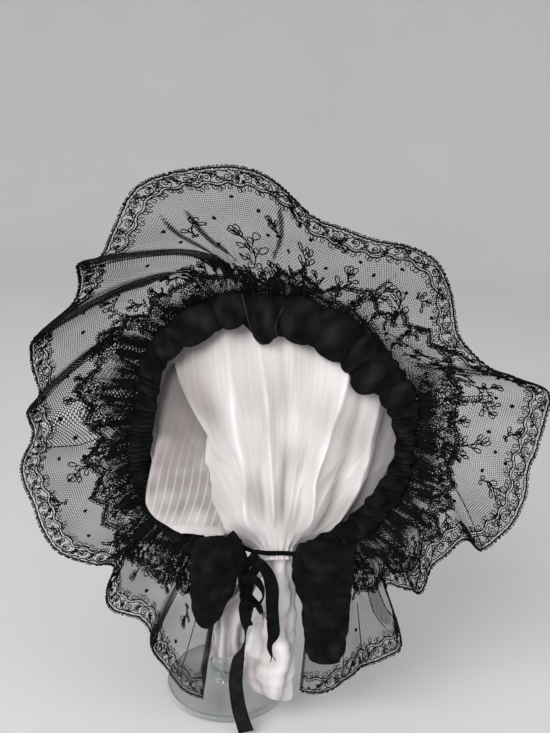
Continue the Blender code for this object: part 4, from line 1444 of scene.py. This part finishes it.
def build_flap():
    """The striped flap that hangs from the ball's left side."""
    z, left, right = curve(FLAP_ROWS, FLAP_GRID_ROWS).T[:, None]
    down = np.linspace(0, 1, FLAP_GRID_ROWS)[None, :]
    across = np.linspace(0, 1, FLAP_COLUMNS)[:, None]
    x = left + (right + FLAP_TUCK - left) * across
    lying = form_front(x, z) - 1.1 - FLAP_GAP * (1 - 0.85 * ease(0.72, 1, across))
    free = np.clip((FLAP_FREE_TOP - z) / FLAP_FREE_BLEND, 0, 1)
    hanging = np.minimum(lying, CAP_CENTRE[1] - FLAP_HANG)
    y = lying + (hanging - lying) * free
    y = y + 0.5 * ripple(11, 16, x, z * 0.5) + 0.4 * np.sin(x * 0.35) * ease(240, 190, z)
    y = y + (form_front(x, z) + 1 - y) * ease(0.8, 1, across)
    grid = spread(x, y, z)
    slanted = x - 0.2 * (z - 200) + 2 * ripple(24, 60, x, z)
    flat = spread(slanted, FLAP_LENGTH * down)
    hem = ease(0.915, 0.93, down)
    lines = (0.06 + 0.24 * ease(0.35, 0.7, down)) * (1 - hem) + 0 * across
    # Painted shade: deepest at the top, under the band, and over the flap's middle height,
    # lighter at its lower left and along the doubled hem
    shaded = 0.95 * ease(0.65, 0.02, down) + 0 * across
    thin = 0.62 + 0.38 * ease(0.02, 0.3, down) * (1 - 0.9 * ease(0.62, 1, down))
    thin = thin - 0.34 * ease(0.6, 0, across) * ease(0.4, 0.9, down)
    hollow = np.clip(thin - 0.3 * hem + 0.18 * ripple(23, 25, x, z), 0, 1)
    made = sheet_object("cotton_flap", grid, COTTON, flat, stripes=lines, shaded=shaded,
                        hollow=hollow)
    add_wall(made, COTTON_WALL)
    return finish_piece(made, "white_cotton", "form_flap")


def soft_pad(name, sections, material, folds, wrinkle, seed, blunt=False, tilt=0, tone=0,
             crumple=0.16):
    """A soft body through oval sections, with folds along it and finer wrinkles; its
    end is cut on a slant by tilt."""
    place = np.linspace(0, len(sections) - 1, PAD_RINGS)
    section = blend(sections, place)
    x, y, z, wide, thick = (section[:, i:i + 1] for i in range(5))
    angle = (math.tau * np.arange(PAD_SIDES) / PAD_SIDES)[None, :]
    length = z[0, 0] - z
    bend = 1.4 * ripple(seed, 38, length, 10 * np.cos(angle))
    fold = np.abs(np.sin(angle * folds / 2 + bend + seed))
    fine = ripple(seed + 1, 19, 1.4 * length, 20 * np.cos(angle), 14 * np.sin(angle))
    shrink = 1 - wrinkle * (0.9 * (1 - fold) ** 1.7 + crumple * fine)
    end = np.sqrt(np.clip((place[-1] - place) / 0.35, 0.02, 1))[:, None]
    top = 1 if blunt else np.sqrt(np.clip(place / 0.2, 0.3, 1))[:, None]
    grid = spread(x + wide * np.cos(angle) * shrink * end * top,
                  y + thick * np.sin(angle) * shrink * end * top,
                  z - tilt * wide * np.cos(angle) * (length / length[-1]) ** 2)
    girth = 2.6 * (wide.max() + thick.max())
    flat = spread(angle / math.tau * girth, length)
    # Painted shade in the valleys of the folds and wrinkles, over an even painted shade of the
    # given level; painted light on the ribbon's crests and painted highlights on the cotton's
    # fold crests
    hollow = np.clip((1 - shrink) / wrinkle - 0.25, 0, 0.8) * (1 - tone) + tone
    worn = np.clip(0.12 + 0.3 * fine - 0.4 * (1 - fold) ** 2, 0, 0.5)
    return tubes_object(name, [grid], [flat], material, stripes=np.full(grid.shape[:2], 0.1),
                        hollow=hollow, crest=0.6 * fold ** 8, worn=worn)


# Ribbons

def ribbon_grid(route):
    """A thin strip along a route, its face towards the front unless it is twisted."""
    row = curve(route, 14 * len(route))
    points, width, twist = row[:, :3], row[:, 3:4], np.radians(row[:, 4:5])
    along = unit(np.gradient(points, axis=0))
    across = unit(np.cross(along, (0, -1, 0)))
    through = np.cross(across, along)
    face = across * np.cos(twist) + through * np.sin(twist)
    lift = np.cross(face, along)
    share = np.linspace(-0.5, 0.5, TIE_COLUMNS)
    run = travelled(points)
    curl = 0.5 * np.sin(run * 0.21)[:, None] + 0.25
    grid = (points[:, None] + face[:, None] * (share[None, :, None] * width[:, None])
            + lift[:, None] * ((share ** 2 * 4)[None, :] * curl)[..., None])
    flat = spread((share[None, :] + 0.5) * TIE_WIDTH, run[:, None])
    return grid, flat, float(run[-1]), float(width.mean())


def ribbon_piece(name, routes, material, node):
    """Strips of one ribbon as one piece, with a thin even wall."""
    points, faces, flats, count, length, area = [], [], [], 0, 0.0, 0.0
    for route in routes:
        grid, flat, long, wide = ribbon_grid(route)
        points.append(grid.reshape(-1, 3))
        faces.append(grid_quads(*grid.shape[:2]) + count)
        flats.append(flat.reshape(-1, 2))
        count += len(points[-1])
        length += long * MM
        area += long * wide * MM * MM
    made = make_mesh(name, np.concatenate(points), np.concatenate(faces), material)
    set_values(made, np.concatenate(flats))
    add_wall(made, RIBBON_WALL)
    return finish_piece(made, "black_ribbon", node)


def build_loose_threads():
    """Single threads of the ribbon's frayed ends."""
    threads = []
    for line in LOOSE_THREADS:
        points = curve(line, 9)
        threads.append((points, facing_front(points), FRAYED_THREAD))
    thread_piece("ribbon_ends_frayed", threads, "black_ribbon", sides=4)


# The glass

def build_glass():
    """The turned foot and stem."""
    place = np.linspace(0, len(GLASS_PROFILE) - 1, 6 * (len(GLASS_PROFILE) - 1) + 1)
    profile = np.array(GLASS_PROFILE, float)
    ring = np.arange(len(profile))
    profile = np.stack([np.interp(place, ring, column) for column in profile.T], axis=1)
    soft = blend(GLASS_PROFILE, place)
    profile[12:] = soft[12:]
    angle = np.linspace(0, math.tau, ROUND_SIDES, endpoint=False)[:, None]
    swell = 0.9 * bell(62, 7, profile[:, 1])
    radius = profile[None, :, 0] + swell
    grid = spread(radius * np.cos(angle), radius * np.sin(angle), profile[None, :, 1])
    made = solid_object("glass_foot", grid, GLASS)
    made.data.set_sharp_from_angle(angle=math.radians(50))
    low, wide = grid[..., 2], np.hypot(grid[..., 0], grid[..., 1])
    # Painted dark reflections: bands round the stem, streaks up it, a darker stem, the foot's rim
    # and a ring line on it; a painted glint along the rim, brightest at the front left and back
    # right
    rings = 0.3 * bell(20, 3, low) + 0.25 * bell(46, 2.4, low)
    streaks = 0.14 * np.sin(7 * angle) + 0.1 * np.sin(11 * angle + 1)
    ledge = 0.3 * bell(46.5, 1.6, wide) * (low < 10)
    rim = 0.62 * (wide > 49.5) + rings + (0.36 + streaks) * (low > 14) + ledge
    shine = 0.25 + 0.65 * np.clip(np.sin(2 * angle + 0.6), 0, 1)
    set_values(made, rim=rim + 0.06 * np.sin(3 * angle),
               glint=shine * (wide > 51.6) * (low > 0.8))
    return finish_piece(made, "clear_glass", "glass_stand")


# The setting

def build_stage():
    """A floor that curves up into a wall all round."""
    bend = np.radians(np.linspace(6, 90, 14))
    flat = np.linspace(0, FLOOR_REACH, 18)
    wall = [FLOOR_REACH + FLOOR_BEND] * len(WALL_HEIGHTS)
    reach = np.concatenate((flat, FLOOR_REACH + FLOOR_BEND * np.sin(bend), wall))
    height = np.concatenate((0 * flat, FLOOR_BEND - FLOOR_BEND * np.cos(bend), WALL_HEIGHTS))
    angle = np.linspace(0, math.tau, ROUND_SIDES, endpoint=False)[:, None]
    grid = spread(reach * np.sin(angle), reach * np.cos(angle), height[None, :] - 0.4)
    made = sheet_object("sweep", grid, make_stage(), closed=True)


def build_light():
    """Lamps aimed at the cap, in an evenly lit pale room."""
    for lamp in LAMPS:
        light = bpy.data.lights.new(lamp.name, "AREA")
        light.shape = "DISK"
        light.size, light.energy, light.color = lamp.size, lamp.power, lamp.colour
        made = bpy.data.objects.new(lamp.name, light)
        made.location = lamp.place
        towards = Vector(LAMP_TARGET) - Vector(lamp.place)
        made.rotation_euler = towards.to_track_quat("-Z", "Y").to_euler()
        bpy.context.scene.collection.objects.link(made)
    world = bpy.data.worlds.new("room_light")
    world.use_nodes = True
    background = world.node_tree.nodes["Background"]
    background.inputs["Color"].default_value = ROOM_COLOUR
    background.inputs["Strength"].default_value = ROOM_STRENGTH
    bpy.context.scene.world = world
    bpy.context.scene.view_settings.view_transform = "Standard"


def build_camera():
    """The photo's view."""
    tilt, roll = math.radians(CAMERA_TILT), math.radians(CAMERA_ROLL)
    ahead = Vector((0, math.cos(tilt), -math.sin(tilt)))
    up = Vector((0, math.sin(tilt), math.cos(tilt)))
    right = Vector((1, 0, 0))
    rolled_up = up * math.cos(roll) - right * math.sin(roll)
    rolled_right = right * math.cos(roll) + up * math.sin(roll)
    turn = Matrix((rolled_right, rolled_up, -ahead)).transposed().to_4x4()
    turn.translation = Vector(CAMERA_PLACE)
    camera = bpy.data.cameras.new("camera")
    camera.lens = CAMERA_LENS
    camera.sensor_width = 36
    made = bpy.data.objects.new("camera", camera)
    bpy.context.scene.collection.objects.link(made)
    made.matrix_world = turn
    bpy.context.scene.camera = made


build_camera()
build_light()
build_stage()
ruffle = build_ruffle()
border = build_border()
sprays = build_sprays()
frill = build_frill()
frill_threads = build_frill_threads()
band = build_band()
build_selvedges(band)
crown, crown_cloth = build_crown()
crown_threads = build_crown_threads(crown_cloth)
ball = build_form()
build_flap()
for name, sections, material, slot, node, fill, look in (
    # An even painted shade over each cloth end, deep on the left one and light on the right
    ("cotton_end_left", CLOTH_LEFT, COTTON, "white_cotton", "cloth_tail_left", 0.3,
     dict(folds=5, wrinkle=0.22, seed=3, blunt=True, tilt=-0.3, tone=0.8, crumple=0.3)),
    ("cotton_end_right", CLOTH_RIGHT, COTTON, "white_cotton", "cloth_tail_right", 0.3,
     dict(folds=6, wrinkle=0.22, seed=6, blunt=True, tilt=0.3, tone=0.25, crumple=0.26)),
    ("ribbon_end_left", LOOP_LEFT, RIBBON, "black_ribbon", "ribbon_loop_left", 0.1,
     dict(folds=5, wrinkle=0.2, seed=9)),
    ("ribbon_end_right", LOOP_RIGHT, RIBBON, "black_ribbon", "ribbon_loop_right", 0.1,
     dict(folds=5, wrinkle=0.2, seed=12)),
):
    pad = finish_piece(soft_pad(name, sections, material, **look), slot, node)
ribbon_piece("knot", KNOT_STRANDS, RIBBON, "tie_knot")
ribbon_piece("tie_under_opening", (CHIN_TIE,), RIBBON, "chin_tie")
ribbon_piece("tie_end_short", (TAIL_SHORT,), RIBBON, "tie_tail_short")
ribbon_piece("tie_end_long", (TAIL_LONG,), WORN_RIBBON, "tie_tail_long")
build_loose_threads()
build_glass()
